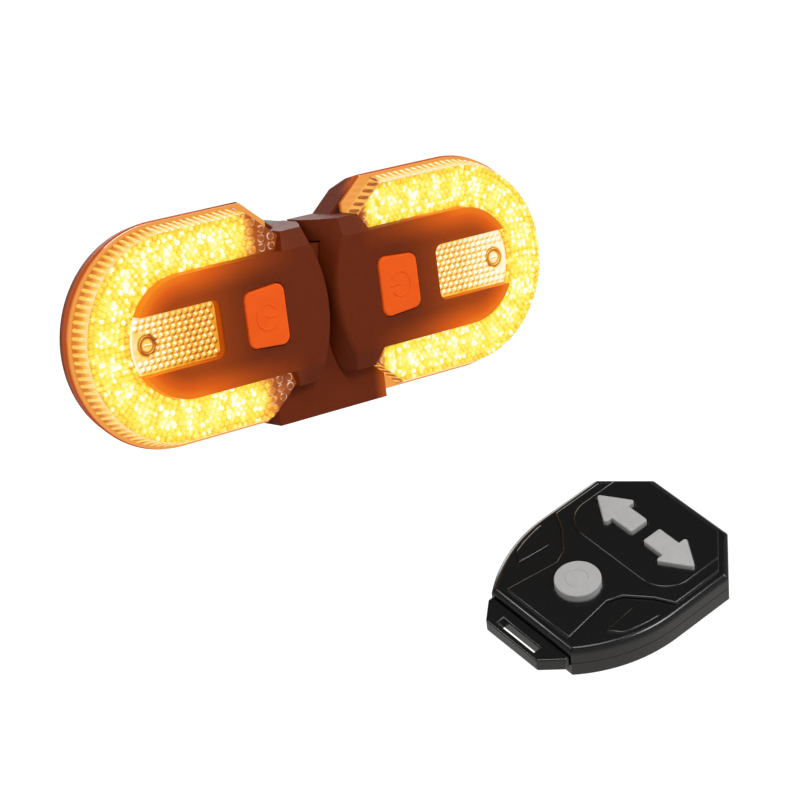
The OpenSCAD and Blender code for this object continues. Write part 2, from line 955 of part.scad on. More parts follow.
// Round-ended circuit board that carries the LEDs, the switch and the charging socket
module circuit_board() {
    color(board_green)
        difference() {
            pod_slab(board_front, board_back, board_in, board_x);
            bar_y([boss_x, 0], screw_r + fit, board_front - past, board_back + past);
        }
}

// LEDs along the straight arms and round the end
module leds() {
    color(amber_light) {
        for (side = [-1, 1], i = [1 : arm_leds])
            translate([pod_x - i * led_pitch, 0, side * led_r])
                led();
        for (i = [0 : arc_leds])
            translate([pod_x, 0, 0])
                rotate([0, 90 - i * 180 / arc_leds, 0])
                    translate([led_r, 0, 0])
                        led();
    }
}

module led() {
    deep(led_front, board_front)
        square(led_s, center = true);
}

module tact_switch() {
    color(black_plastic) {
        deep(board_front - switch_body, board_front)
            translate([switch_x, 0])
                square(switch_s, center = true);
        bar_y([switch_x, 0], plunger_r, plunger_front, board_front - switch_body);
    }
}

module battery() {
    color(foil)
        deep(board_back + lift, case_back - back_wall - battery_gap)
            rounded(corners(
                [battery_x, battery_low],
                [battery_x + battery_l, battery_low + battery_h]
            ), battery_round);
}

// Upright charging socket: a steel shell with its mouth to the back
module usb_socket() {
    color(steel)
        difference() {
            deep(board_back, usb_back)
                port_slot(-port_gap);
            deep(board_back + usb_floor, usb_back + past)
                port_slot(-port_gap - usb_wall);
        }
}

module gasket() {
    color(black_rubber)
        rim_ring(
            rim_front, rim_front + groove_d - pin_fit, groove_in + pin_fit, groove_in + groove_w - pin_fit
        );
}

module case_screws() {
    color(steel) {
        bar_y([boss_x, 0], screw_r, boss_screw_front, case_back - screw_head_t);
        bar_y([boss_x, 0], screw_head_r, case_back - screw_head_t, case_back - lift);
        neck_screw_places() {
            bar_y([0, 0], screw_r, neck_screw_front, hook_back - screw_head_t);
            bar_y([0, 0], screw_head_r, hook_back - screw_head_t, hook_back - lift);
        }
    }
}

// Power button's outline drawn out by d
module button_outline(d) {
    rounded([
        [button_x0 - d, -button_h0 / 2 - d],
        [button_x1 + d, -button_h1 / 2 - d],
        [button_x1 + d, button_h1 / 2 + d],
        [button_x0 - d, button_h0 / 2 + d]
    ], button_round + d);
}

module power_button() {
    color(amber_rubber) {
        deep(-button_proud, button_back)
            button_outline(0);
        deep(face_t + lift, button_back)
            button_outline(button_rim);
    }
}

// Soft lid of the charging port on its hinge
module port_flap() {
    color(black_rubber) {
        deep(case_back - flap_t, case_back)
            flap_outline(0);
        flap_bar(flap_pin_r, flap_half);
        flap_bar(flap_stub_r, flap_half + flap_stub_l);
        deep(case_back - flap_t - flap_plug, case_back - flap_t)
            port_slot(-plug_fit);
    }
}

// The remote's place and turn beside the lamp
module remote_place() {
    translate([remote_x, face_y - remote_ahead, -remote_below])
        rotate(remote_turn)
            children();
}

// Remote outline drawn in by d: cut corners, straight sides and bowed sides
module remote_outline(d) {
    skew = d * tan(atan2(remote_cut, remote_half - remote_end_w / 2) / 2);
    polygon([
        [d - remote_half, bow_y],
        [remote_half - d, bow_y],
        [remote_half - d, remote_far - remote_cut - skew],
        [remote_end_w / 2 - skew, remote_far - d],
        [skew - remote_end_w / 2, remote_far - d],
        [d - remote_half, remote_far - remote_cut - skew]
    ]);
    intersection() {
        translate([remote_half - remote_bow, bow_y])
            circle(remote_bow - d, $fn = 128);
        translate([remote_bow - remote_half, bow_y])
            circle(remote_bow - d, $fn = 128);
        polygon(corners([-remote_half, remote_near + d], [remote_half, bow_y]));
    }
}

// Arrow that points to -X, drawn out by d
module arrow_outline(d) {
    slant = atan2(arrow_w / 2, arrow_head);
    r = arrow_round + d;
    back_x = arrow_head - arrow_tail - arrow_l + d;
    head_half = arrow_w / 2 + d * (1 + sin(slant)) / cos(slant);
    neck_half = arrow_neck / 2 + d;
    tip = [-arrow_tail - arrow_l - d / sin(slant), 0];
    head = [back_x, head_half];
    neck = [back_x, neck_half];
    tail = [d - arrow_tail, neck_half];
    translate([0, arrow_y])
        polygon(concat(
            corner(tip, head, across(head), r),
            corner(across(head), tip, across(neck), r),
            [across(neck)],
            corner(across(tail), across(neck), tail, r),
            corner(tail, across(tail), neck, r),
            [neck],
            corner(head, neck, tip, r)
        ));
}

// Places of the remote's screws
module boss_places() {
    far_boss_x = remote_half - remote_wall - boss_side;
    for (place = [[-far_boss_x, far_boss_y], [far_boss_x, far_boss_y],
                  [-near_boss_x, near_boss_y], [near_boss_x, near_boss_y]])
        translate(place)
            children();
}

// Tab of the remote's base, with its two outer corners rounded
module tab_outline() {
    root_y = remote_near - tab_root;
    edge_y = remote_near - tab_l;
    root = [tab_w / 2 + tab_flare, root_y];
    edge = [tab_w / 2, edge_y];
    polygon(concat(
        [[-root[0], remote_near - pin_fit], [root[0], remote_near - pin_fit], root],
        corner(edge, root, [-edge[0], edge_y], tab_round),
        corner([-edge[0], edge_y], edge, [-root[0], root_y], tab_round),
        [[-root[0], root_y]]
    ));
}

// Base of the remote with the tab for a cord or strap
module remote_base() {
    color(black_plastic)
        remote_place()
            difference() {
                union() {
                    difference() {
                        along_z(-remote_d, split - pin_fit)
                            remote_outline(0);
                        along_z(floor_top, split + past)
                            remote_outline(remote_wall);
                    }
                    boss_places()
                        along_z(floor_top - past / 2, remote_board_back - pin_fit)
                            circle(remote_boss_r);
                    along_z(tab_top - tab_t, tab_top)
                        tab_outline();
                    along_z(tab_top - tab_t, split - pin_fit)
                        polygon(corners(
                            [-tab_w / 2, remote_near - tab_root],
                            [tab_w / 2, remote_near + remote_wall]
                        ));
                }
                along_z(-remote_d - past, tab_top + past)
                    translate([0, remote_near - (tab_l + tab_root) / 2])
                        square([slot_l, slot_w], center = true);
                boss_places() {
                    along_z(-remote_d - past, 0)
                        circle(remote_screw_r + pin_fit);
                    along_z(-remote_d - past, -remote_d + remote_head_t)
                        circle(remote_head_r + fit);
                }
            }
}

// A raised panel of the remote's cover, up to a level and kept inside the edge by d
module panel(level, d) {
    along_z(ceiling, level)
        intersection() {
            remote_outline(d);
            children();
        }
}

// Cover of the remote with its raised panels and button openings
module remote_cover() {
    color(black_plastic)
        remote_place()
            difference() {
                union() {
                    difference() {
                        union() {
                            hull() {
                                along_z(split, cover_edge)
                                    remote_outline(0);
                                along_z(split, cover_top)
                                    remote_outline(cover_bevel);
                            }
                            both_sides()
                                panel(wing_top, panel_in)
                                    polygon(wing);
                            both_sides()
                                panel(low_top, panel_in)
                                    polygon(concat(
                                        [[0, remote_near]],
                                        low_side,
                                        [[remote_half, remote_far], [0, remote_far]]
                                    ));
                            panel(0, panel_in)
                                rounded(
                                    corners([-panel_half, panel_y], [panel_half, panel_far]),
                                    panel_round
                                );
                        }
                        along_z(split - past, ceiling)
                            remote_outline(remote_wall);
                    }
                    boss_places()
                        along_z(split + pin_fit, ceiling + past / 2)
                            circle(remote_boss_r);
                }
                along_z(ceiling - past, key_top + past)
                    both_sides()
                        arrow_outline(key_fit);
                translate([0, round_y, ceiling - past])
                    cylinder(h = key_top - ceiling + 2 * past, r = round_r + key_fit);
                boss_places()
                    along_z(split - past, ceiling - lift)
                        circle(remote_screw_r + pin_fit);
            }
}

module remote_board() {
    color(board_green)
        remote_place()
            along_z(remote_board_back, split)
                difference() {
                    remote_outline(remote_wall + fit);
                    boss_places()
                        circle(remote_screw_r + fit);
                }
}

module remote_switches() {
    arrow_mid = arrow_tail + arrow_l / 2;
    dome = 0.3;
    color(steel)
        remote_place()
            for (place = [[-arrow_mid, arrow_y], [arrow_mid, arrow_y], [0, round_y]])
                translate(place) {
                    along_z(split, remote_plunger - dome)
                        square(remote_switch_s, center = true);
                    along_z(remote_plunger - dome, remote_plunger)
                        circle(remote_switch_s / 4);
                }
}

module remote_coin_cell() {
    color(foil)
        remote_place()
            translate([0, cell_y, cell_top - cell_t])
                cylinder(h = cell_t, d = cell_d);
}

// Spring clip bent over the coin cell
module remote_cell_clip() {
    leg_y = cell_d / 2 + fit;
    color(steel)
        remote_place()
            translate([0, cell_y, 0]) {
                along_z(clip_back, clip_back + clip_t)
                    polygon(corners([-clip_w / 2, -leg_y - clip_t], [clip_w / 2, leg_y + clip_t]));
                for (y = [-leg_y - clip_t, leg_y])
                    along_z(floor_top + pin_fit, clip_back + clip_t)
                        polygon(corners([-clip_w / 2, y], [clip_w / 2, y + clip_t]));
            }
}

module remote_screws() {
    color(steel)
        remote_place()
            boss_places() {
                along_z(-remote_d + remote_head_t, ceiling - 2 * lift)
                    circle(remote_screw_r);
                along_z(-remote_d + lift, -remote_d + remote_head_t)
                    circle(remote_head_r);
            }
}

module remote_left_button() {
    color(grey_rubber)
        remote_place()
            arrow_key();
}

module remote_right_button() {
    color(grey_rubber)
        remote_place()
            mirror([1, 0, 0])
                arrow_key();
}

module arrow_key() {
    along_z(key_back, key_top)
        arrow_outline(0);
    along_z(key_back, key_back + key_rim_t)
        arrow_outline(key_rim);
}

module remote_round_button() {
    color(grey_rubber)
        remote_place()
            translate([0, round_y, 0]) {
                translate([0, 0, key_back])
                    cylinder(h = round_top - key_back, r = round_r);
                translate([0, 0, key_back])
                    cylinder(h = key_rim_t, r = round_r + key_rim);
            }
}

saddle();
saddle_pad();
strap();
holder();
tilt_screw();
tilt_nut();
mirror([1, 0, 0]) rear_case();  // left_rear_case
mirror([1, 0, 0]) front_bezel();  // left_front_bezel
mirror([1, 0, 0]) lens();  // left_lens
mirror([1, 0, 0]) reflector();  // left_reflector
mirror([1, 0, 0]) circuit_board();  // left_circuit_board
mirror([1, 0, 0]) leds();  // left_leds
mirror([1, 0, 0]) tact_switch();  // left_tact_switch
mirror([1, 0, 0]) battery();  // left_battery
mirror([1, 0, 0]) usb_socket();  // left_usb_socket
mirror([1, 0, 0]) gasket();  // left_gasket
mirror([1, 0, 0]) case_screws();  // left_case_screws
mirror([1, 0, 0]) power_button();  // left_power_button
mirror([1, 0, 0]) port_flap();  // left_port_flap
rear_case();  // right_rear_case
front_bezel();  // right_front_bezel
lens();  // right_lens
reflector();  // right_reflector
circuit_board();  // right_circuit_board
leds();  // right_leds
tact_switch();  // right_tact_switch
battery();  // right_battery
usb_socket();  // right_usb_socket
gasket();  // right_gasket
case_screws();  // right_case_screws
power_button();  // right_power_button
port_flap();  // right_port_flap
remote_base();
remote_cover();
remote_board();
remote_switches();
remote_coin_cell();
remote_cell_clip();
remote_screws();
remote_left_button();
remote_right_button();
remote_round_button();
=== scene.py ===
import json
import math

import bmesh
import bpy
from mathutils import Matrix, Vector

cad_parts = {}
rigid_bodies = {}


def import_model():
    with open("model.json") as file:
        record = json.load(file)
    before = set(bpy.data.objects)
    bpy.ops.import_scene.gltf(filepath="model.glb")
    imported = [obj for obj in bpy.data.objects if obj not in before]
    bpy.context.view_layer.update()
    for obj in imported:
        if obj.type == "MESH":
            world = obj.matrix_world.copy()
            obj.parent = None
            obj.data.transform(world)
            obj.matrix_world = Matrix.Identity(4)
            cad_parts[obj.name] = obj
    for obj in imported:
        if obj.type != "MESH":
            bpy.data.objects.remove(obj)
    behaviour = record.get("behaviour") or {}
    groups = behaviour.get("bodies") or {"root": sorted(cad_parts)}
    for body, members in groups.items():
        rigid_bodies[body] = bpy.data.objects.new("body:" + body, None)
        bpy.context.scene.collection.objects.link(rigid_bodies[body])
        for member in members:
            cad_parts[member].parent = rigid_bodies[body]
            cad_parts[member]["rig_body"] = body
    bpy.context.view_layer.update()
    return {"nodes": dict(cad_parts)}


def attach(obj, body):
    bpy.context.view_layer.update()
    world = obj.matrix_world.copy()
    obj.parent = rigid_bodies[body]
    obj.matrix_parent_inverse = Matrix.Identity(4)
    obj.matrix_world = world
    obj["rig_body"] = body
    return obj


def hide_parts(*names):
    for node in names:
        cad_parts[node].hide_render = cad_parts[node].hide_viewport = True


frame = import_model()
scene = bpy.context.scene
scene.view_settings.view_transform = "Standard"


# Camera and studio. A long lens looks down 12 degrees at the lamp from its left.
# White paper lies under the object, and its surroundings are white at its level and dim overhead.
lens_mm = 123.84
sensor_mm = 36
eye = (-0.3509, -0.5547, 0.1052)
back = Vector((-0.5829, -0.7849, 0.2098)).normalized()
upward = Vector((0.2244, 0.0926, 0.9701))
floor_z = -0.24
floor_half = 9
fibre_size = 0.0025
aim = Vector((0, -0.06, -0.02))
# Soft square lamps, each with its place, side and power.
lamps = [("key", (0.1, -1.15, 0.75), 0.4, 6.5),
         ("top", (-0.34, -0.5, 1.1), 0.5, 4.5),
         ("fill", (0.85, -0.95, 0.75), 0.5, 4.5),
         ("edge", (-0.95, 0.3, 0.8), 0.35, 3.5),
         ("rim", (0.5, 1.1, 0.6), 0.7, 6)]


def linear(code):
    parts = [int(code[i:i + 2], 16) / 255 for i in (1, 3, 5)]
    return [p / 12.92 if p <= 0.04045 else ((p + 0.055) / 1.055) ** 2.4 for p in parts] + [1.0]


# A value stays on the node's own socket, and a node or one of its outputs is linked to it.
def give(node, inputs):
    for socket, value in inputs.items():
        if isinstance(value, bpy.types.Node):
            value = value.outputs[0]
        if isinstance(value, bpy.types.NodeSocket):
            node.id_data.links.new(value, node.inputs[socket])
        else:
            node.inputs[socket].default_value = value


# Inputs go by name or number. In a Map Range 0 is the value, 1 and 2 are the range that it is in
# and 3 and 4 the range that it goes to. In a Mix of colours 0 is the share and 6 and 7 are the
# colours, and the result is output 2.
def add(tree, kind, inputs={}, stops={}, **settings):
    node = tree.nodes.new(kind)
    for name, value in settings.items():
        setattr(node, name, value)
    for at, code in stops.items():
        ramp = node.color_ramp.elements
        stop = ramp[0] if at == 0 else ramp[-1] if at == 1 else ramp.new(at)
        stop.color = linear(code)
    give(node, inputs)
    return node


camera = bpy.data.objects.new("camera", bpy.data.cameras.new("camera"))
camera.data.sensor_width = sensor_mm
camera.data.lens = lens_mm
right = upward.cross(back).normalized()
camera.matrix_world = Matrix.Translation(eye) @ Matrix((right, back.cross(right), back)).transposed().to_4x4()
scene.collection.objects.link(camera)
scene.camera = camera

world = bpy.data.worlds.new("studio")
scene.world = world
world.use_nodes = True
tree = world.node_tree
tree.nodes.clear()
way = add(tree, "ShaderNodeSeparateXYZ", {0: add(tree, "ShaderNodeTexCoord").outputs["Generated"]})
height = add(tree, "ShaderNodeMapRange", {0: way.outputs["Z"], 1: 0.02, 2: 0.4, 3: 1.0, 4: 0.12})
add(tree, "ShaderNodeOutputWorld", {0: add(tree, "ShaderNodeBackground", {"Strength": height})})

# Paper: matt, with faint fibres. Where the camera sees it, it glows to white and keeps a shadow.
paper = bpy.data.materials.new("matt white paper")
paper.use_nodes = True
tree = paper.node_tree
tree.nodes.clear()
place = add(tree, "ShaderNodeTexCoord").outputs["Object"]
fibre = add(tree, "ShaderNodeTexNoise", {"Vector": place, "Scale": 1 / fibre_size, "Detail": 3})
tone = add(tree, "ShaderNodeMapRange", {0: fibre, 3: 0.2, 4: 0.22})
matt = add(tree, "ShaderNodeBsdfDiffuse", {"Color": tone})
far = add(tree, "ShaderNodeVectorMath", {0: place}, operation="LENGTH").outputs["Value"]
level = add(tree, "ShaderNodeMapRange", {0: far, 1: 0.3, 2: 1.2, 3: 0.9, 4: 1.0})
glow = add(tree, "ShaderNodeEmission", {"Strength": level})
seen = add(tree, "ShaderNodeAddShader", {0: matt, 1: glow})
unseen = add(tree, "ShaderNodeBsdfDiffuse", {"Color": linear("#e8e6e2")})
path = add(tree, "ShaderNodeLightPath").outputs
direct = add(tree, "ShaderNodeMath", {0: path["Is Camera Ray"], 1: path["Is Transmission Ray"]},
             operation="MAXIMUM")
add(tree, "ShaderNodeOutputMaterial", {0: add(tree, "ShaderNodeMixShader", {0: direct, 1: unseen, 2: seen})})
floor_mesh = bpy.data.meshes.new("floor")
corners = [(-floor_half, -floor_half), (floor_half, -floor_half), (floor_half, floor_half),
           (-floor_half, floor_half)]
floor_mesh.from_pydata([(x, y, floor_z) for x, y in corners], [], [(0, 1, 2, 3)])
floor_mesh.materials.append(paper)
floor = bpy.data.objects.new("floor", floor_mesh)
scene.collection.objects.link(floor)

for name, place, size, power in lamps:
    lamp = bpy.data.objects.new(name, bpy.data.lights.new(name, "AREA"))
    lamp.data.size = size
    lamp.data.energy = power
    lamp.location = place
    lamp.rotation_euler = (Vector(place) - aim).to_track_quat("Z", "Y").to_euler()
    scene.collection.objects.link(lamp)


# Saddle, a moulded glass-filled nylon block with the tongue of the tilt knuckle on its front.
# It is one moulding, with soft edges from the mould and the fine bloom of nylon.
same_point = 2e-6
flat_turn = math.radians(0.6)
sharp_turn = math.radians(25)
smooth_turn = math.radians(24)
seam_width = 2e-4
seam_edge = 0.0001
grain_depth = 0.0001


def as_mesh(shape, name):
    mesh = bpy.data.meshes.new(name)
    shape.to_mesh(mesh)
    shape.free()
    return mesh


# A copy of a CAD node with its outer edges rounded, kept within the node's own box. Edges in the
# plane of a seam, given by a point and a direction, are only broken. Clamp makes the rounding
# smaller where a face is too narrow for it.
def softened(node, edge, seam=None, clamp=False):
    shape = bmesh.new()
    shape.from_mesh(frame["nodes"][node].data)
    bmesh.ops.remove_doubles(shape, verts=shape.verts, dist=same_point)
    bmesh.ops.dissolve_limit(shape, angle_limit=flat_turn, verts=shape.verts, edges=shape.edges)
    box = [(min(v.co[i] for v in shape.verts), max(v.co[i] for v in shape.verts)) for i in range(3)]
    sharp = [e for e in shape.edges if e.is_manifold and e.is_convex and e.calc_face_angle(0) > sharp_turn]
    if seam:
        on_seam, out = seam
        fine = [e for e in sharp if all(abs((v.co - on_seam).dot(out)) < seam_width for v in e.verts)]
        bmesh.ops.bevel(shape, geom=fine, offset=seam_edge, offset_type="OFFSET", segments=1, profile=0.5,
                        affect="EDGES", clamp_overlap=True)
        sharp = [e for e in sharp if e.is_valid and e not in fine and e.calc_face_angle(0) > sharp_turn]
    rounding = bmesh.ops.bevel(shape, geom=sharp, offset=edge, offset_type="OFFSET", segments=4, profile=0.5,
                               affect="EDGES", clamp_overlap=clamp)
    rounded = set(rounding["faces"])
    for vert in shape.verts:
        vert.co = [min(max(value, low), high) for value, (low, high) in zip(vert.co, box)]
    for e in shape.edges:
        alike = len({face in rounded for face in e.link_faces}) == 1
        e.smooth = e.is_manifold and alike and e.calc_face_angle(0) < smooth_turn
    for face in shape.faces:
        face.smooth = True
    return as_mesh(shape, node)


# A finished piece in place of its CAD node, on that node's body.
def fitted(name, mesh, material, node):
    mesh.materials.clear()
    mesh.materials.append(material)
    piece = bpy.data.objects.new(name, mesh)
    scene.collection.objects.link(piece)
    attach(piece, frame["nodes"][node]["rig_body"])
    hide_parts(node)


def finish(name):
    material = bpy.data.materials.new(name)
    material.use_nodes = True
    return material, material.node_tree, material.node_tree.nodes["Principled BSDF"]


# Grains or clouds of two tones, with the noise that makes them. The grain of a real skin is finer
# than a render shows, so it is drawn as coarse as it needs to show.
def grains(tree, size, detail, dark, pale):
    place = add(tree, "ShaderNodeTexCoord").outputs["Object"]
    noise = add(tree, "ShaderNodeTexNoise", {"Vector": place, "Scale": 1 / size, "Detail": detail})
    return noise, add(tree, "ShaderNodeValToRGB", {0: noise}, stops={0: dark, 1: pale})


# Nylon: near black, dull, with a faint cloudy bloom of glass fibre at the skin.
nylon, tree, skin = finish("black glass-filled nylon")
bloom, tint = grains(tree, size=0.001111, detail=4, dark="#181614", pale="#262320")
relief = add(tree, "ShaderNodeBump", {"Height": bloom, "Strength": 0.15, "Distance": grain_depth})
give(skin, {"Base Color": tint, "Roughness": 0.55, "IOR": 1.5, "Normal": relief})
fitted("saddle_moulding", softened("saddle", edge=0.0005), nylon, "saddle")


# Pad and strap of soft silicone. The pad is glued in the saddle's hollow, and the strap makes a
# stretched loop behind it, its ends buttoned over the saddle's pegs, with moulded grip ribs.
# Silicone: black and matt, greyed in patches by the dust that it holds.
grip_r = 0.0179
grip_angles = range(155, 24, -3)
rib_pitch = 0.0032
silicone, tree, skin = finish("black moulded silicone")
dust, tint = grains(tree, size=0.001429, detail=5, dark="#121212", pale="#232322")
relief = add(tree, "ShaderNodeBump", {"Height": dust, "Strength": 0.2, "Distance": grain_depth})
give(skin, {"Base Color": tint, "Roughness": 0.7, "IOR": 1.41, "Normal": relief})
fitted("saddle_pad_liner", softened("saddle_pad", edge=0.0003), silicone, "saddle_pad")

# Rows of one small moulded shape set along paths: Z of the shape stands on the surface and X runs
# across the path. Lean turns Z from straight against Axis to straight out from the path.
rows = bpy.data.node_groups.new("moulded rows", "GeometryNodeTree")
sockets = {}
for name, kind in [("Geometry", "Geometry"), ("Pitch", "Float"), ("Lean", "Float"), ("Axis", "Vector"),
                   ("Shape", "Object"), ("Material", "Material")]:
    sockets[name] = rows.interface.new_socket(name, in_out="INPUT", socket_type="NodeSocket" + kind)
rows.interface.new_socket("Geometry", in_out="OUTPUT", socket_type="NodeSocketGeometry")
given = add(rows, "NodeGroupInput").outputs
line = add(rows, "GeometryNodeMeshToCurve", {"Mesh": given["Geometry"]})
line = add(rows, "GeometryNodeResampleCurve", {"Curve": line, "Length": given["Pitch"]}, mode="LENGTH")
along = add(rows, "GeometryNodeInputTangent")
out = add(rows, "ShaderNodeVectorMath", {0: along, 1: given["Axis"]}, operation="CROSS_PRODUCT")
share = add(rows, "ShaderNodeMath", {0: given["Lean"]}, operation="COSINE")
front = add(rows, "ShaderNodeVectorMath", {0: given["Axis"], "Scale": share}, operation="SCALE")
share = add(rows, "ShaderNodeMath", {0: given["Lean"]}, operation="SINE")
aside = add(rows, "ShaderNodeVectorMath", {0: out, "Scale": share}, operation="SCALE")
stand = add(rows, "ShaderNodeVectorMath", {0: aside, 1: front}, operation="SUBTRACT")
cross = add(rows, "ShaderNodeVectorMath", {0: along, 1: stand}, operation="CROSS_PRODUCT")
turn = add(rows, "FunctionNodeAlignRotationToVector", {"Vector": stand}, axis="Z")
turn = add(rows, "FunctionNodeAlignRotationToVector", {"Rotation": turn, "Vector": cross}, axis="X",
           pivot_axis="Z")
model = add(rows, "GeometryNodeObjectInfo", {"Object": given["Shape"]})
copies = add(rows, "GeometryNodeInstanceOnPoints", {
    "Points": line, "Instance": model.outputs["Geometry"], "Rotation": turn})
real = add(rows, "GeometryNodeRealizeInstances", {"Geometry": copies})
real = add(rows, "GeometryNodeSetMaterial", {"Geometry": real, "Material": given["Material"]})
add(rows, "NodeGroupOutput", {"Geometry": real})


def evaluated(maker):
    return bpy.data.meshes.new_from_object(maker.evaluated_get(bpy.context.evaluated_depsgraph_get()))


def set_in_rows(paths, shape, pitch, material, lean=0.0, axis=(0, 1, 0)):
    points = []
    edges = []
    for path in paths:
        edges += [(len(points) + i, len(points) + i + 1) for i in range(len(path) - 1)]
        points += path
    mesh = bpy.data.meshes.new("rows")
    mesh.from_pydata(points, edges, [])
    maker = bpy.data.objects.new("rows", mesh)
    model = bpy.data.objects.new("shape", shape)
    scene.collection.objects.link(maker)
    scene.collection.objects.link(model)
    modifier = maker.modifiers.new("rows", "NODES")
    modifier.node_group = rows
    for name, value in [("Pitch", pitch), ("Lean", lean), ("Axis", axis), ("Shape", model),
                        ("Material", material)]:
        modifier[sockets[name].identifier] = value
    done = evaluated(maker)
    maker.modifiers.remove(modifier)
    bpy.data.objects.remove(maker)
    bpy.data.objects.remove(model)
    return done


def joined(*meshes):
    shape = bmesh.new()
    for mesh in meshes:
        shape.from_mesh(mesh)
    return as_mesh(shape, "joined")


def smooth_shape(name, points, faces):
    mesh = bpy.data.meshes.new(name)
    mesh.from_pydata(points, [], faces)
    for face in mesh.polygons:
        face.use_smooth = True
    return mesh


# An arched bar along X, thinner at its two ends, with its foot sunk below the surface.
def bar(length, width, height, sunk):
    end_share = 0.35
    shoulder = length / 2 - width / 2
    cuts = [(-length / 2, end_share), (-shoulder, 1), (shoulder, 1), (length / 2, end_share)]
    arch = [(-0.5, 0), (-0.4, 0.6), (0, 1), (0.4, 0.6), (0.5, 0)]
    n = len(arch)
    points = [(x, y * width * k, z * height * k - sunk) for x, k in cuts for y, z in arch]
    faces = [(n * i + j, n * i + n + j, n * i + n + j + 1, n * i + j + 1)
             for i in range(len(cuts) - 1) for j in range(n - 1)]
    faces += [range(n), range(len(points) - 1, len(points) - 1 - n, -1)]
    return smooth_shape("bar", points, faces)


grip = [(grip_r * math.cos(math.radians(a)), grip_r * math.sin(math.radians(a)), 0) for a in grip_angles]
ribs = set_in_rows([grip], bar(length=0.014, width=0.0014, height=0.0004, sunk=0.0003), rib_pitch, silicone,
                   lean=math.radians(90), axis=(0, 0, 1))
fitted("strap_band", joined(softened("strap", edge=0.0004), ribs), silicone, "strap")


# Tilt screw and nut of zinc-plated steel, clamping the holder's ears on the saddle's tongue.
# Zinc plate: bluish grey, half bright, broken up by the fine crystals of the plating.
zinc, tree, skin = finish("zinc-plated steel")
crystal, tint = grains(tree, size=0.000667, detail=3, dark="#8f9294", pale="#c4c7c9")
rough = add(tree, "ShaderNodeMapRange", {0: crystal, 3: 0.28, 4: 0.45})
give(skin, {"Base Color": tint, "Roughness": rough, "Metallic": 1})
for node in ("tilt_screw", "tilt_nut"):
    fitted(node + "_turned", softened(node, edge=0.0002, clamp=True), zinc, node)


# Holder, one moulding of black ABS: ears on the tilt screw, plate, the rail that both pods
# hook onto and the shelf under them. The lamp's amber light warms all the ABS near it.

# Sizes of a pod in mm: Y of its face, places off the lamp's middle, radii and the LEDs' pitch.
face_y = -62.5
lens_turn_x = 40.0
tongue_turn_x = 38.8
tongue_r = 13.5
led_r = 18.05
led_pitch = 6.25
boss_x = 48.45
slope_turn = math.radians(40)
slope_start = 5.652
left_lit = (-14.5, -24.0)
right_lit = (11.5, 15.5)

# Where the light falls, in mm: Across is the distance off the line of LEDs, Tongue the distance
# inside the tongue's edge, Depth that behind the bezel's face, Middle that from the lamp's middle,
# Slope the height off the lens's sloping end and Boss the distance from the reflector's boss.
# Spot is 1 over an LED, Lit is 1 along the lit length and Right is 1 on the right pod.
light = bpy.data.node_groups.new("amber light", "ShaderNodeTree")
for name in ("Across", "Tongue", "Depth", "Spot", "Lit", "Middle", "Slope", "Boss", "Right"):
    light.interface.new_socket(name, in_out="OUTPUT", socket_type="NodeSocketFloat")
place = add(light, "ShaderNodeTexCoord").outputs["Object"]
place = add(light, "ShaderNodeVectorMath", {0: place, "Scale": 1000}, operation="SCALE")
xyz = add(light, "ShaderNodeSeparateXYZ", {0: place}).outputs
away = add(light, "ShaderNodeMath", {0: xyz["X"]}, operation="ABSOLUTE")
rise = add(light, "ShaderNodeMath", {0: xyz["Z"]}, operation="ABSOLUTE")
past = {}
radius = {}
for name, turn_x in (("lens", lens_turn_x), ("tongue", tongue_turn_x)):
    beyond = add(light, "ShaderNodeMath", {0: away, 1: turn_x}, operation="SUBTRACT")
    past[name] = add(light, "ShaderNodeMath", {0: beyond, 1: 0.0}, operation="MAXIMUM")
    flat = add(light, "ShaderNodeCombineXYZ", {"X": past[name], "Y": rise})
    radius[name] = add(light, "ShaderNodeVectorMath", {0: flat}, operation="LENGTH").outputs["Value"]
off = add(light, "ShaderNodeMath", {0: radius["lens"], 1: led_r}, operation="SUBTRACT")
off = add(light, "ShaderNodeMath", {0: off}, operation="ABSOLUTE")
angle = add(light, "ShaderNodeMath", {0: past["lens"], 1: rise}, operation="ARCTAN2")
run = add(light, "ShaderNodeMath", {0: away, 1: lens_turn_x}, operation="MINIMUM")
run = add(light, "ShaderNodeMath", {0: angle, 1: led_r, 2: run}, operation="MULTIPLY_ADD")
per_led = 2 * math.pi / led_pitch
wave = add(light, "ShaderNodeMath", {0: run, 1: per_led, 2: -lens_turn_x * per_led}, operation="MULTIPLY_ADD")
wave = add(light, "ShaderNodeMath", {0: wave}, operation="COSINE")
peak = add(light, "ShaderNodeMapRange", {0: wave, 1: -0.9, 2: 1.0}, interpolation_type="SMOOTHSTEP")
core = add(light, "ShaderNodeMapRange", {0: off, 1: 3.8, 2: 0.2}, interpolation_type="SMOOTHSTEP")
spot = add(light, "ShaderNodeMath", {0: peak, 1: core}, operation="MULTIPLY")
reach = [add(light, "ShaderNodeMapRange", {0: xyz["X"], 1: dark, 2: lit}, interpolation_type="SMOOTHSTEP")
         for dark, lit in (left_lit, right_lit)]
reach = add(light, "ShaderNodeMath", {0: reach[0], 1: reach[1]}, operation="MAXIMUM")
inside = add(light, "ShaderNodeMath", {0: tongue_r, 1: radius["tongue"]}, operation="SUBTRACT")
depth = add(light, "ShaderNodeMath", {0: xyz["Y"], 1: face_y}, operation="SUBTRACT")
slope = add(light, "ShaderNodeMath", {0: away, 1: -math.sin(slope_turn), 2: -slope_start},
            operation="MULTIPLY_ADD")
slope = add(light, "ShaderNodeMath", {0: rise, 1: math.cos(slope_turn), 2: slope}, operation="MULTIPLY_ADD")
beyond = add(light, "ShaderNodeMath", {0: away, 1: boss_x}, operation="SUBTRACT")
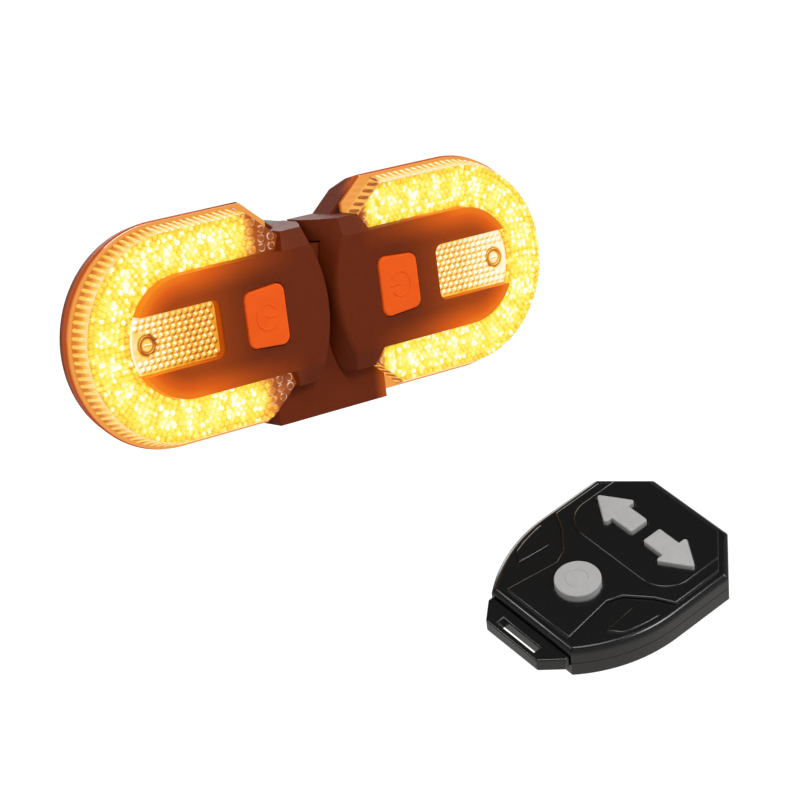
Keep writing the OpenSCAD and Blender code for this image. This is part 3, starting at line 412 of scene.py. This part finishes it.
boss = add(light, "ShaderNodeCombineXYZ", {"X": beyond, "Y": rise})
boss = add(light, "ShaderNodeVectorMath", {0: boss}, operation="LENGTH").outputs["Value"]
on_right = add(light, "ShaderNodeMapRange", {0: xyz["X"], 1: -5.0, 2: 5.0})
add(light, "NodeGroupOutput", {"Across": off, "Tongue": inside, "Depth": depth, "Spot": spot, "Lit": reach,
                               "Middle": away, "Slope": slope, "Boss": boss, "Right": on_right})

# Satin ABS: dark, with a fine spark-eroded grain; the lens's light runs along the rim beside it.
abs_grain = 0.000909
abs_plastic, tree, skin = finish("satin black ABS warmed by the lamp")
lamp = add(tree, "ShaderNodeGroup", node_tree=light).outputs
grain, tint = grains(tree, abs_grain, detail=4, dark="#64250d", pale="#722e12")
relief = add(tree, "ShaderNodeBump", {"Height": grain, "Strength": 0.08, "Distance": grain_depth})
rim = add(tree, "ShaderNodeMapRange", {0: lamp["Depth"], 1: 12.2, 2: 8.4}, interpolation_type="SMOOTHSTEP")
rim = add(tree, "ShaderNodeMath", {0: rim, 1: lamp["Lit"]}, operation="MULTIPLY")
tone = add(tree, "ShaderNodeValToRGB", {0: rim}, stops={0: "#000000", 1: "#b04e10"})
give(skin, {"Base Color": tint, "Roughness": 0.5, "IOR": 1.5, "Specular IOR Level": 0.08, "Normal": relief,
            "Emission Color": tone, "Emission Strength": 0.8})
fitted("holder_moulding", softened("holder", edge=0.00035, clamp=True), abs_plastic, "holder")


# Inside each pod: a gasket, a green circuit board with its LEDs, switch and charging socket,
# a foil-wrapped battery and three self-tapping screws with cross recesses.
sides = (("left_", -1), ("right_", 1))
recess_size = (0.0021, 0.0005, 0.0014)
screw_crease = math.radians(32)
# The screws' heads in mm: off the lamp's middle, behind its face and up.
boss_head = (boss_x, 19.9, 0)
neck_heads = [(8.6, 15.0, 14.3), (8.6, 15.0, -14.3)]
# Solder mask: glossy green over paler copper tracks.
track_size = 0.00556
board, tree, skin = finish("green solder mask")
place = add(tree, "ShaderNodeTexCoord").outputs["Object"]
tracks = add(tree, "ShaderNodeTexBrick", {"Vector": place, "Scale": 1 / track_size, "Mortar Size": 0.03,
                                          "Color1": linear("#14502e"), "Color2": linear("#17593a"),
                                          "Mortar": linear("#2f7a4c")})
give(skin, {"Base Color": tracks, "Roughness": 0.35})
# Foil: dull silver, creased.
foil, tree, skin = finish("laminated battery foil")
_, tint = grains(tree, size=0.00625, detail=6, dark="#a9acb0", pale="#d6d8da")
give(skin, {"Base Color": tint, "Metallic": 0.8, "Roughness": 0.4})
# Phosphor: amber sides and a pale glowing face.
diode, tree, skin = finish("amber LED phosphor")
depth = add(tree, "ShaderNodeGroup", node_tree=light).outputs["Depth"]
warm = add(tree, "ShaderNodeMapRange", {0: depth, 1: 10.65, 2: 9.25})
tint = add(tree, "ShaderNodeValToRGB", {0: warm}, stops={0: "#d98a1c", 1: "#ffe9a8"})
give(skin, {"Base Color": tint, "Emission Color": tint, "Emission Strength": 1})


def dressed(node, material):
    for place in frame["nodes"][node].material_slots:
        place.material = material


# Screws that lie along one direction, with a cross cut into each head.
def recessed(node, heads, along):
    shape = bmesh.new()
    side = along.orthogonal().normalized()
    for head in heads:
        for arm in (side, along.cross(side)):
            turn = Matrix((arm, along.cross(arm), along)).transposed().to_4x4()
            bmesh.ops.create_cube(shape, size=1,
                                  matrix=Matrix.Translation(head) @ turn @ Matrix.Diagonal((*recess_size, 1)))
    bmesh.ops.recalc_face_normals(shape, faces=shape.faces)
    tool = bpy.data.objects.new("recess", as_mesh(shape, "recess"))
    blank = bpy.data.objects.new("blank", softened(node, edge=0.00015, clamp=True))
    for each in (tool, blank):
        scene.collection.objects.link(each)
    cut = blank.modifiers.new("recess", "BOOLEAN")
    cut.operation = "DIFFERENCE"
    cut.solver = "EXACT"
    cut.use_self = True
    cut.object = tool
    done = evaluated(blank)
    for each in (tool, blank):
        bpy.data.objects.remove(each)
    done.set_sharp_from_angle(angle=screw_crease)
    return done


# A point of the left or right pod, from mm off the lamp's middle, behind its face and up.
def on_pod(side, x, depth, z):
    return Vector((side * x / 1000, (depth + face_y) / 1000, z / 1000))


for name, side in sides:
    for node, material in [("gasket", silicone), ("circuit_board", board), ("leds", diode),
                           ("tact_switch", nylon), ("battery", foil), ("usb_socket", zinc)]:
        dressed(name + node, material)
    heads = [on_pod(side, *head) for head in [boss_head] + neck_heads]
    fitted(name + "screws_turned", recessed(name + "case_screws", heads, Vector((0, 1, 0))), zinc,
           name + "case_screws")


# Rear case of each pod, black ABS: rim, neck with its hook, and the hump over the battery.
# A soft silicone lid on a moulded hinge closes the charging port.
# A narrow strip closes the back between the hump and the neck, over the edge of the board.

# The strip's place on the pod in mm, and its size in metres.
strip_at = (17.16, 12.4, 0)
strip_size = (0.0009, 0.0009, 0.0454)
for name, side in sides:
    shape = bmesh.new()
    bmesh.ops.create_cube(shape, size=1, matrix=Matrix.Translation(on_pod(side, *strip_at))
                          @ Matrix.Diagonal((*strip_size, 1)))
    case = joined(softened(name + "rear_case", edge=0.0003, clamp=True), as_mesh(shape, "strip"))
    fitted(name + "case_moulding", case, abs_plastic, name + "rear_case")
    fitted(name + "port_lid", softened(name + "port_flap", edge=0.00015), silicone, name + "port_flap")


# Lens of each pod, clear polycarbonate lit by the LEDs. The face is moulded in small round
# lenslets in rows along the U, the sloping wall in fine ribs, and the unlit ends in larger lenslets.
# Polycarbonate: glassy, yellow-white over the LEDs, amber at its edges, brown and clear at its ends.

# Sizes in mm. The unlit rows have a height and a start each, and the slope a place and a height.
lens_inner = 13.65
lens_outer = 22.8
lens_face = 2.6
lit_from = 18.9
lit_rows = 8
lit_first = 0.7
lit_step = 1.15
lit_pitch = 1.34
unlit_to = 18.3
unlit_starts = ((14.9, 13.3), (16.9, 13.2), (18.9, 15.4), (20.9, 17.7))
unlit_pitch = 2.2
wall_from = 19.3
wall_r = 23.45
wall_mid = 5.0
wall_lean = math.radians(74.8)
wall_pitch = 1.7
wall_foot = 7.3
slope_low = (12.2, 17.62)
slope_high = (18.2, 22.65)
slope_pitch = 1.8
lens_plastic, tree, skin = finish("clear polycarbonate lit amber")
lamp = add(tree, "ShaderNodeGroup", node_tree=light).outputs
place = add(tree, "ShaderNodeTexCoord").outputs["Object"]
# The face is brightest on the lenslets' crowns, over the LEDs and at chance glints.
crown = add(tree, "ShaderNodeMapRange", {0: lamp["Depth"], 1: 2.62, 2: 2.36})
band = add(tree, "ShaderNodeMapRange", {0: lamp["Across"], 1: 5.2, 2: 2.5}, interpolation_type="SMOOTHSTEP")
glint_size = 0.001429
cells = add(tree, "ShaderNodeTexVoronoi", {"Vector": place, "Scale": 1 / glint_size})
chance = add(tree, "ShaderNodeSeparateColor", {0: cells.outputs["Color"]})
glint = add(tree, "ShaderNodeMapRange", {0: cells.outputs["Distance"], 1: 0.6, 2: 0.25})
glint = add(tree, "ShaderNodeMath", {0: glint, 1: chance}, operation="MULTIPLY")
sparkle_size = 0.001111
sparkle = add(tree, "ShaderNodeTexNoise", {"Vector": place, "Scale": 1 / sparkle_size, "Detail": 2})
bright = 0.2
for part, share in [(band, 0.16), (lamp["Spot"], 0.2), (crown, 0.16), (sparkle, 0.3), (glint, 0.62)]:
    bright = add(tree, "ShaderNodeMath", {0: part, 1: share, 2: bright}, operation="MULTIPLY_ADD")
dim = add(tree, "ShaderNodeMapRange", {0: lamp["Lit"], 3: 0.1, 4: 1.0})
bright = add(tree, "ShaderNodeMath", {0: bright, 1: dim}, operation="MULTIPLY")
face = add(tree, "ShaderNodeValToRGB", {0: bright}, stops={
    0: "#6e2a0e", 0.2: "#bc5c1a", 0.34: "#f09c22", 0.48: "#fbd038", 0.64: "#fcee4e", 0.82: "#fcf98e",
    1: "#fffff2"})
# On the unlit ends a broken pale ring round each large lenslet is a painted highlight.
ring = add(tree, "ShaderNodeMath", {0: lamp["Depth"], 1: 2.34}, operation="SUBTRACT")
ring = add(tree, "ShaderNodeMath", {0: ring}, operation="ABSOLUTE")
ring = add(tree, "ShaderNodeMapRange", {0: ring, 1: 0.1, 2: 0.03})
unlit = add(tree, "ShaderNodeMath", {0: 1.0, 1: lamp["Lit"]}, operation="SUBTRACT")
ring = add(tree, "ShaderNodeMath", {0: ring, 1: unlit}, operation="MULTIPLY")
broken = add(tree, "ShaderNodeMapRange", {0: sparkle, 1: 0.42, 2: 0.62})
ring = add(tree, "ShaderNodeMath", {0: ring, 1: broken}, operation="MULTIPLY")
pale = add(tree, "ShaderNodeValToRGB", {0: sparkle}, stops={0: "#d99a70", 1: "#ffe6cc"})
face = add(tree, "ShaderNodeMix", {0: ring, 6: face, 7: pale}, data_type="RGBA").outputs[2]
# On the wall the ribs are pale and the gaps between them darken towards the foot.
plain_wall = add(tree, "ShaderNodeMath", {0: lamp["Depth"], 1: 0.271, 2: 4.05}, operation="MULTIPLY_ADD")
ridge = add(tree, "ShaderNodeMath", {0: lamp["Across"], 1: plain_wall}, operation="SUBTRACT")
ridge = add(tree, "ShaderNodeMapRange", {0: ridge, 1: 0.02, 2: 0.25})
gap = add(tree, "ShaderNodeMapRange", {0: lamp["Depth"], 1: 3.0, 2: 6.2, 3: 0.7, 4: 0.0})
high = add(tree, "ShaderNodeMapRange", {0: lamp["Depth"], 1: 3.0, 2: 7.2, 3: 0.75, 4: 0.5})
ridge = add(tree, "ShaderNodeMix", {0: ridge, 2: gap, 3: high})
for part, share in [(sparkle, 0.4), (lamp["Right"], 0.25)]:
    ridge = add(tree, "ShaderNodeMath", {0: part, 1: share, 2: ridge}, operation="MULTIPLY_ADD")
dull = add(tree, "ShaderNodeMapRange", {0: lamp["Lit"], 3: 0.6, 4: 1.0})
ridge = add(tree, "ShaderNodeMath", {0: ridge, 1: dull}, operation="MULTIPLY")
wall = add(tree, "ShaderNodeValToRGB", {0: ridge}, stops={
    0: "#b0561e", 0.25: "#dd7c30", 0.5: "#f5a848", 0.75: "#fbcf50", 1: "#ffe8b0"})
# The sloping ends have dark rungs on amber, and the flange at the foot goes from amber to brown.
tooth = add(tree, "ShaderNodeMapRange", {0: lamp["Slope"], 1: 0.03, 2: 0.1})
comb = add(tree, "ShaderNodeValToRGB", {0: tooth}, stops={0: "#f3b04c", 1: "#a65a2c"})
at_slope = add(tree, "ShaderNodeMapRange", {0: lamp["Slope"], 1: -0.12, 2: -0.06})
wall = add(tree, "ShaderNodeMix", {0: at_slope, 6: wall, 7: comb}, data_type="RGBA").outputs[2]
at_wall = add(tree, "ShaderNodeMapRange", {0: lamp["Depth"], 1: 2.66, 2: 2.9})
colour = add(tree, "ShaderNodeMix", {0: at_wall, 6: face, 7: wall}, data_type="RGBA").outputs[2]
foot = add(tree, "ShaderNodeMapRange", {0: lamp["Depth"], 1: wall_foot, 2: wall_foot + 1})
flange = add(tree, "ShaderNodeValToRGB", {0: foot}, stops={0: "#f4aa50", 0.35: "#d86e20", 1: "#a84a1e"})
at_foot = add(tree, "ShaderNodeMapRange", {0: lamp["Depth"], 1: wall_foot - 0.04, 2: wall_foot + 0.04})
colour = add(tree, "ShaderNodeMix", {0: at_foot, 6: colour, 7: flange}, data_type="RGBA").outputs[2]
give(skin, {"Base Color": linear("#3a2208"), "Roughness": 0.12, "IOR": 1.58, "Specular IOR Level": 0.3,
            "Emission Color": colour, "Emission Strength": 0.95})


# A round lenslet, with its foot sunk below the surface.
def dome(radius, height, sunk):
    rings = [(1.0, 0.0), (0.86, 0.5), (0.5, 0.87)]
    n = 10
    turns = [2 * math.pi * i / n for i in range(n)]
    points = [(radius * k * math.cos(a), radius * k * math.sin(a), height * h - sunk)
              for k, h in rings for a in turns]
    points.append((0, 0, height - sunk))
    last = n * (len(rings) - 1)
    faces = [(r + i, r + (i + 1) % n, r + n + (i + 1) % n, r + n + i)
             for r in range(0, last, n) for i in range(n)]
    faces += [(last + i, last + (i + 1) % n, last + n) for i in range(n)]
    return smooth_shape("dome", points, faces)


# A path on a pod, turned so that rows along it stand out of the surface on either pod.
def facing(side, path):
    path = [on_pod(side, *point) for point in path]
    return path if side > 0 else path[::-1]


def round_the_u(start, centre, r, depth):
    bend = [(centre + r * math.cos(math.radians(a)), depth, r * math.sin(math.radians(a)))
            for a in range(90, -91, -5)]
    return [(start, depth, r)] + bend + [(start, depth, -r)]


def lit_row(i):
    share = (lit_first + lit_step * i) / (lens_outer - lens_inner)
    centre = tongue_turn_x + (lens_turn_x - tongue_turn_x) * share
    start = lit_from + lit_pitch / 2 * (i % 2)
    return round_the_u(start, centre, lens_inner + lit_first + lit_step * i, lens_face)


for name, side in sides:
    face_rows = [facing(side, lit_row(i)) for i in range(lit_rows)]
    end_rows = [facing(side, [(start, lens_face, up * z), (unlit_to, lens_face, up * z)][::up])
                for z, start in unlit_starts for up in (1, -1)]
    wall_rows = [facing(side, round_the_u(wall_from, lens_turn_x, wall_r, wall_mid))]
    slope_rows = [facing(side, [(x, wall_mid, z * up) for x, z in (slope_low, slope_high)][::up])
                  for up in (1, -1)]
    small_dome = dome(radius=0.00066, height=0.00036, sunk=0.00003)
    large_dome = dome(radius=0.0011, height=0.0005, sunk=0.00003)
    wall_rib = bar(length=0.0046, width=0.0010, height=0.0003, sunk=0.0)
    slope_rung = bar(length=0.0040, width=0.0011, height=0.0003, sunk=0.0)
    fitted(name + "lens_moulding", joined(
        softened(name + "lens", edge=0.00015),
        set_in_rows(face_rows, small_dome, lit_pitch / 1000, lens_plastic),
        set_in_rows(end_rows, large_dome, unlit_pitch / 1000, lens_plastic),
        set_in_rows(wall_rows, wall_rib, wall_pitch / 1000, lens_plastic, lean=wall_lean),
        set_in_rows(slope_rows, slope_rung, slope_pitch / 1000, lens_plastic, lean=math.radians(90)),
    ), lens_plastic, name + "lens")


# Reflector of each pod, a plate of amber acrylic in the bezel's window, moulded in rows of small
# six-sided prisms, with the slotted end of the screw boss at the window's mouth.
# Acrylic: amber. Its glow is painted light of the LEDs as the prisms reflect it, with a painted highlight
# on each prism's facet towards the top and painted shade on the one below. The glow is painted brighter
# towards the mouth and on the right pod, and it is darker in a ring round the boss.

# Sizes in mm.
plate_face = 2.3
plate_from = 31.3
prism_rows = 9
prism_step = 1.3
prism_pitch = 1.5
mouth_gap = 0.9
boss_clear = 2.7
collar_r = 1.9
collar_face = 2.32
slot_ends = (47.4, 49.5)
acrylic, tree, skin = finish("amber prismatic acrylic in painted LED light")
lamp = add(tree, "ShaderNodeGroup", node_tree=light).outputs
place = add(tree, "ShaderNodeTexCoord").outputs["Object"]
tilt = add(tree, "ShaderNodeSeparateXYZ", {0: add(tree, "ShaderNodeNewGeometry").outputs["Normal"]}).outputs
near = add(tree, "ShaderNodeMapRange", {0: lamp["Middle"], 1: 38.0, 2: 51.0})
facet_size = 0.001667
sparkle = add(tree, "ShaderNodeTexNoise", {"Vector": place, "Scale": 1 / facet_size, "Detail": 2})
bright = 0.2
# Painted light and shade: paler on facets facing up, brighter towards the mouth and on the right pod.
for part, share in [(tilt["Z"], 0.6), (tilt["X"], -0.4), (sparkle, 0.4), (near, 0.4), (lamp["Right"], 0.2)]:
    bright = add(tree, "ShaderNodeMath", {0: part, 1: share, 2: bright}, operation="MULTIPLY_ADD")
collar = add(tree, "ShaderNodeMath", {0: lamp["Boss"], 1: collar_r}, operation="SUBTRACT")
collar = add(tree, "ShaderNodeMath", {0: collar}, operation="ABSOLUTE")
collar = add(tree, "ShaderNodeMapRange", {0: collar, 1: 0.8, 2: 0.3, 3: 0.0, 4: -0.7})
bright = add(tree, "ShaderNodeMath", {0: bright, 1: collar}, operation="ADD")
tint = add(tree, "ShaderNodeValToRGB", {0: bright}, stops={
    0: "#9a4610", 0.22: "#d87820", 0.45: "#f3a632", 0.7: "#fcd650", 1: "#fffbe0"})
give(skin, {"Base Color": linear("#3a2208"), "Roughness": 0.15, "IOR": 1.49, "Specular IOR Level": 0.3,
            "Emission Color": tint, "Emission Strength": 0.95})


def prism(radius, height, sunk):
    n = 6
    turns = [2 * math.pi * i / n for i in range(n)]
    points = [(radius * math.cos(a), radius * math.sin(a), -sunk) for a in turns] + [(0, 0, height - sunk)]
    mesh = bpy.data.meshes.new("prism")
    mesh.from_pydata(points, [], [(i, (i + 1) % n, n) for i in range(n)])
    return mesh


def moulded_line(path, radius, closed=False):
    curve = bpy.data.curves.new("line", "CURVE")
    curve.dimensions = "3D"
    curve.bevel_depth = radius
    curve.bevel_resolution = 2
    curve.use_fill_caps = True
    spline = curve.splines.new("POLY")
    spline.points.add(len(path) - 1)
    for point, at in zip(spline.points, path):
        point.co = (*at, 1)
    spline.use_cyclic_u = closed
    maker = bpy.data.objects.new("line", curve)
    scene.collection.objects.link(maker)
    done = evaluated(maker)
    bpy.data.objects.remove(maker)
    return done


# A row of prisms ends at the boss or, above and below it, at the round mouth of the window.
def prism_row(i):
    z = prism_step * (i - (prism_rows - 1) / 2)
    start = plate_from + prism_pitch / 2 * (i % 2)
    if abs(z) < boss_clear:
        end = boss_x - math.sqrt(boss_clear ** 2 - z ** 2)
    else:
        end = tongue_turn_x + math.sqrt(tongue_r ** 2 - z ** 2) - mouth_gap
    return [(start, plate_face, z), (end, plate_face, z)]


for name, side in sides:
    plate_rows = [facing(side, prism_row(i)) for i in range(prism_rows)]
    collar = [on_pod(side, boss_x + collar_r * math.cos(math.radians(a)), collar_face,
                     collar_r * math.sin(math.radians(a))) for a in range(0, 360, 12)]
    slot = [on_pod(side, x, collar_face, 0) for x in slot_ends]
    small_prism = prism(radius=0.00085, height=0.00045, sunk=0.00002)
    fitted(name + "reflector_plate", joined(
        softened(name + "reflector", edge=0.00015),
        set_in_rows(plate_rows, small_prism, prism_pitch / 1000, acrylic),
        moulded_line(collar, radius=0.00024, closed=True),
        moulded_line(slot, radius=0.0003),
    ), acrylic, name + "reflector")


# Front bezel of each pod, satin black ABS over the rail: a tongue with two prongs round the
# reflector, and a neck with bevelled shoulders. The lens's light spills over the tongue's edges.
# ABS in that light: dark red-brown on the neck, rising to glowing orange at the prongs' tips.
bezel_plastic, tree, skin = finish("satin black ABS in amber light")
lamp = add(tree, "ShaderNodeGroup", node_tree=light).outputs
grain, tint = grains(tree, abs_grain, detail=4, dark="#62240c", pale="#702d12")
relief = add(tree, "ShaderNodeBump", {"Height": grain, "Strength": 0.06, "Distance": grain_depth})
edge = add(tree, "ShaderNodeMapRange", {0: lamp["Tongue"], 1: 6.0, 2: 0.0}, interpolation_type="SMOOTHSTEP")
tips = add(tree, "ShaderNodeMapRange", {0: lamp["Middle"], 1: 18.0, 2: 40.0}, interpolation_type="SMOOTHSTEP")
start = add(tree, "ShaderNodeMapRange", {0: lamp["Middle"], 1: 9.0, 2: 20.0, 3: 0.0, 4: 0.2})
spill = add(tree, "ShaderNodeMath", {0: edge, 1: 0.42, 2: 0.28}, operation="MULTIPLY_ADD")
spill = add(tree, "ShaderNodeMath", {0: spill, 1: tips}, operation="MULTIPLY")
spill = add(tree, "ShaderNodeMath", {0: edge, 1: start, 2: spill}, operation="MULTIPLY_ADD")
beside = add(tree, "ShaderNodeMapRange", {0: lamp["Depth"], 1: 0.2, 2: 1.4})
beside = add(tree, "ShaderNodeMath", {0: beside, 1: tips}, operation="MULTIPLY")
spill = add(tree, "ShaderNodeMath", {0: beside, 1: 0.6, 2: spill}, operation="MULTIPLY_ADD")
tone = add(tree, "ShaderNodeValToRGB", {0: spill}, stops={0: "#000000", 0.75: "#cc5606", 1: "#e88212"})
give(skin, {"Base Color": tint, "Roughness": 0.48, "IOR": 1.5, "Specular IOR Level": 0.08, "Normal": relief,
            "Emission Color": tone, "Emission Strength": 1})
for name, side in sides:
    fitted(name + "bezel_moulding", softened(name + "front_bezel", edge=0.0003, clamp=True), bezel_plastic,
           name + "front_bezel")


# Power button of each pod, soft translucent silicone lit from behind, with rounded edges and a
# ring and stroke moulded into its face, the ring open towards the lamp's middle.
# Translucent silicone: even orange with soft clouds of light, no gloss.

# Sizes in mm, but for the line's radius.
mark_x = 18.6
mark_r = 2.8
mark_face = -0.33
stroke_ends = (18.8, 15.6)
mark_line = 0.00026
amber_silicone, tree, skin = finish("translucent orange silicone")
_, tint = grains(tree, size=0.004545, detail=2, dark="#dc5010", pale="#e85c14")
give(skin, {"Base Color": tint, "Roughness": 0.6, "IOR": 1.41, "Specular IOR Level": 0.15,
            "Emission Color": tint, "Emission Strength": 0.15})
for name, side in sides:
    ring = [on_pod(side, mark_x - mark_r * math.cos(math.radians(a)), mark_face,
                   mark_r * math.sin(math.radians(a))) for a in range(35, 326, 10)]
    stroke = [on_pod(side, x, mark_face, 0) for x in stroke_ends]
    fitted(name + "button_cap", joined(
        softened(name + "power_button", edge=0.0004),
        moulded_line(ring, mark_line),
        moulded_line(stroke, mark_line),
    ), amber_silicone, name + "power_button")


# Remote: two shells of glossy black ABS, screwed together from below, with a strap tab in front.
# Its frame stands where the CAD has it, Z out of the arrows' panel.
# Glossy ABS: black, with a fine grain that breaks up the light along its edges.
remote_place = (0.0332, -0.1044, -0.0645)
remote_turns = ((-87, "Z"), (25, "Y"), (20, "X"))
remote_seam = (0, 0, -0.0052)
remote_heads = [(x, y, -0.0091) for x, y in ((-0.0174, 0.003), (0.0174, 0.003), (-0.0114, -0.016),
                                             (0.0114, -0.016))]
at_remote = Matrix.Translation(remote_place)
for degrees, axis in remote_turns:
    at_remote = at_remote @ Matrix.Rotation(math.radians(degrees), 4, axis)
outward = at_remote.to_3x3() @ Vector((0, 0, 1))
gloss, tree, skin = finish("glossy black ABS")
grain, tint = grains(tree, size=0.000588, detail=3, dark="#0e0e0e", pale="#151515")
rough = add(tree, "ShaderNodeMapRange", {0: grain, 3: 0.16, 4: 0.24})
relief = add(tree, "ShaderNodeBump", {"Height": grain, "Strength": 0.03, "Distance": grain_depth})
give(skin, {"Base Color": tint, "Roughness": rough, "IOR": 1.5, "Specular IOR Level": 0.5, "Normal": relief})
for node in ("remote_base", "remote_cover"):
    shell = softened(node, edge=0.0004, seam=(at_remote @ Vector(remote_seam), outward))
    fitted(node + "_shell", shell, gloss, node)
heads = [at_remote @ Vector(head) for head in remote_heads]
fitted("remote_screws_turned", recessed("remote_screws", heads, outward), zinc, "remote_screws")
for node, material in [("remote_board", board), ("remote_switches", zinc), ("remote_coin_cell", foil),
                       ("remote_cell_clip", zinc)]:
    dressed(node, material)


# Keys of the remote, matt grey silicone: two arrows, and a round key with a ring on its top.
# Grey silicone: pale, matt and slightly clouded.
key_y = -0.0071
key_top = 0.0011
key_ring_r = 0.0026
grey_silicone, tree, skin = finish("matt grey silicone")
_, tint = grains(tree, size=0.002, detail=4, dark="#a6a6a6", pale="#b8b8b8")
give(skin, {"Base Color": tint, "Roughness": 0.65, "IOR": 1.41})
for node in ("remote_left_button", "remote_right_button"):
    fitted(node + "_cap", softened(node, edge=0.0003), grey_silicone, node)
ring = [at_remote @ Vector((key_ring_r * math.cos(math.radians(a)),
                            key_ring_r * math.sin(math.radians(a)) + key_y, key_top))
        for a in range(0, 360, 10)]
fitted("remote_round_button_cap", joined(
    softened("remote_round_button", edge=0.0003),
    moulded_line(ring, radius=0.00025, closed=True),
), grey_silicone, "remote_round_button")
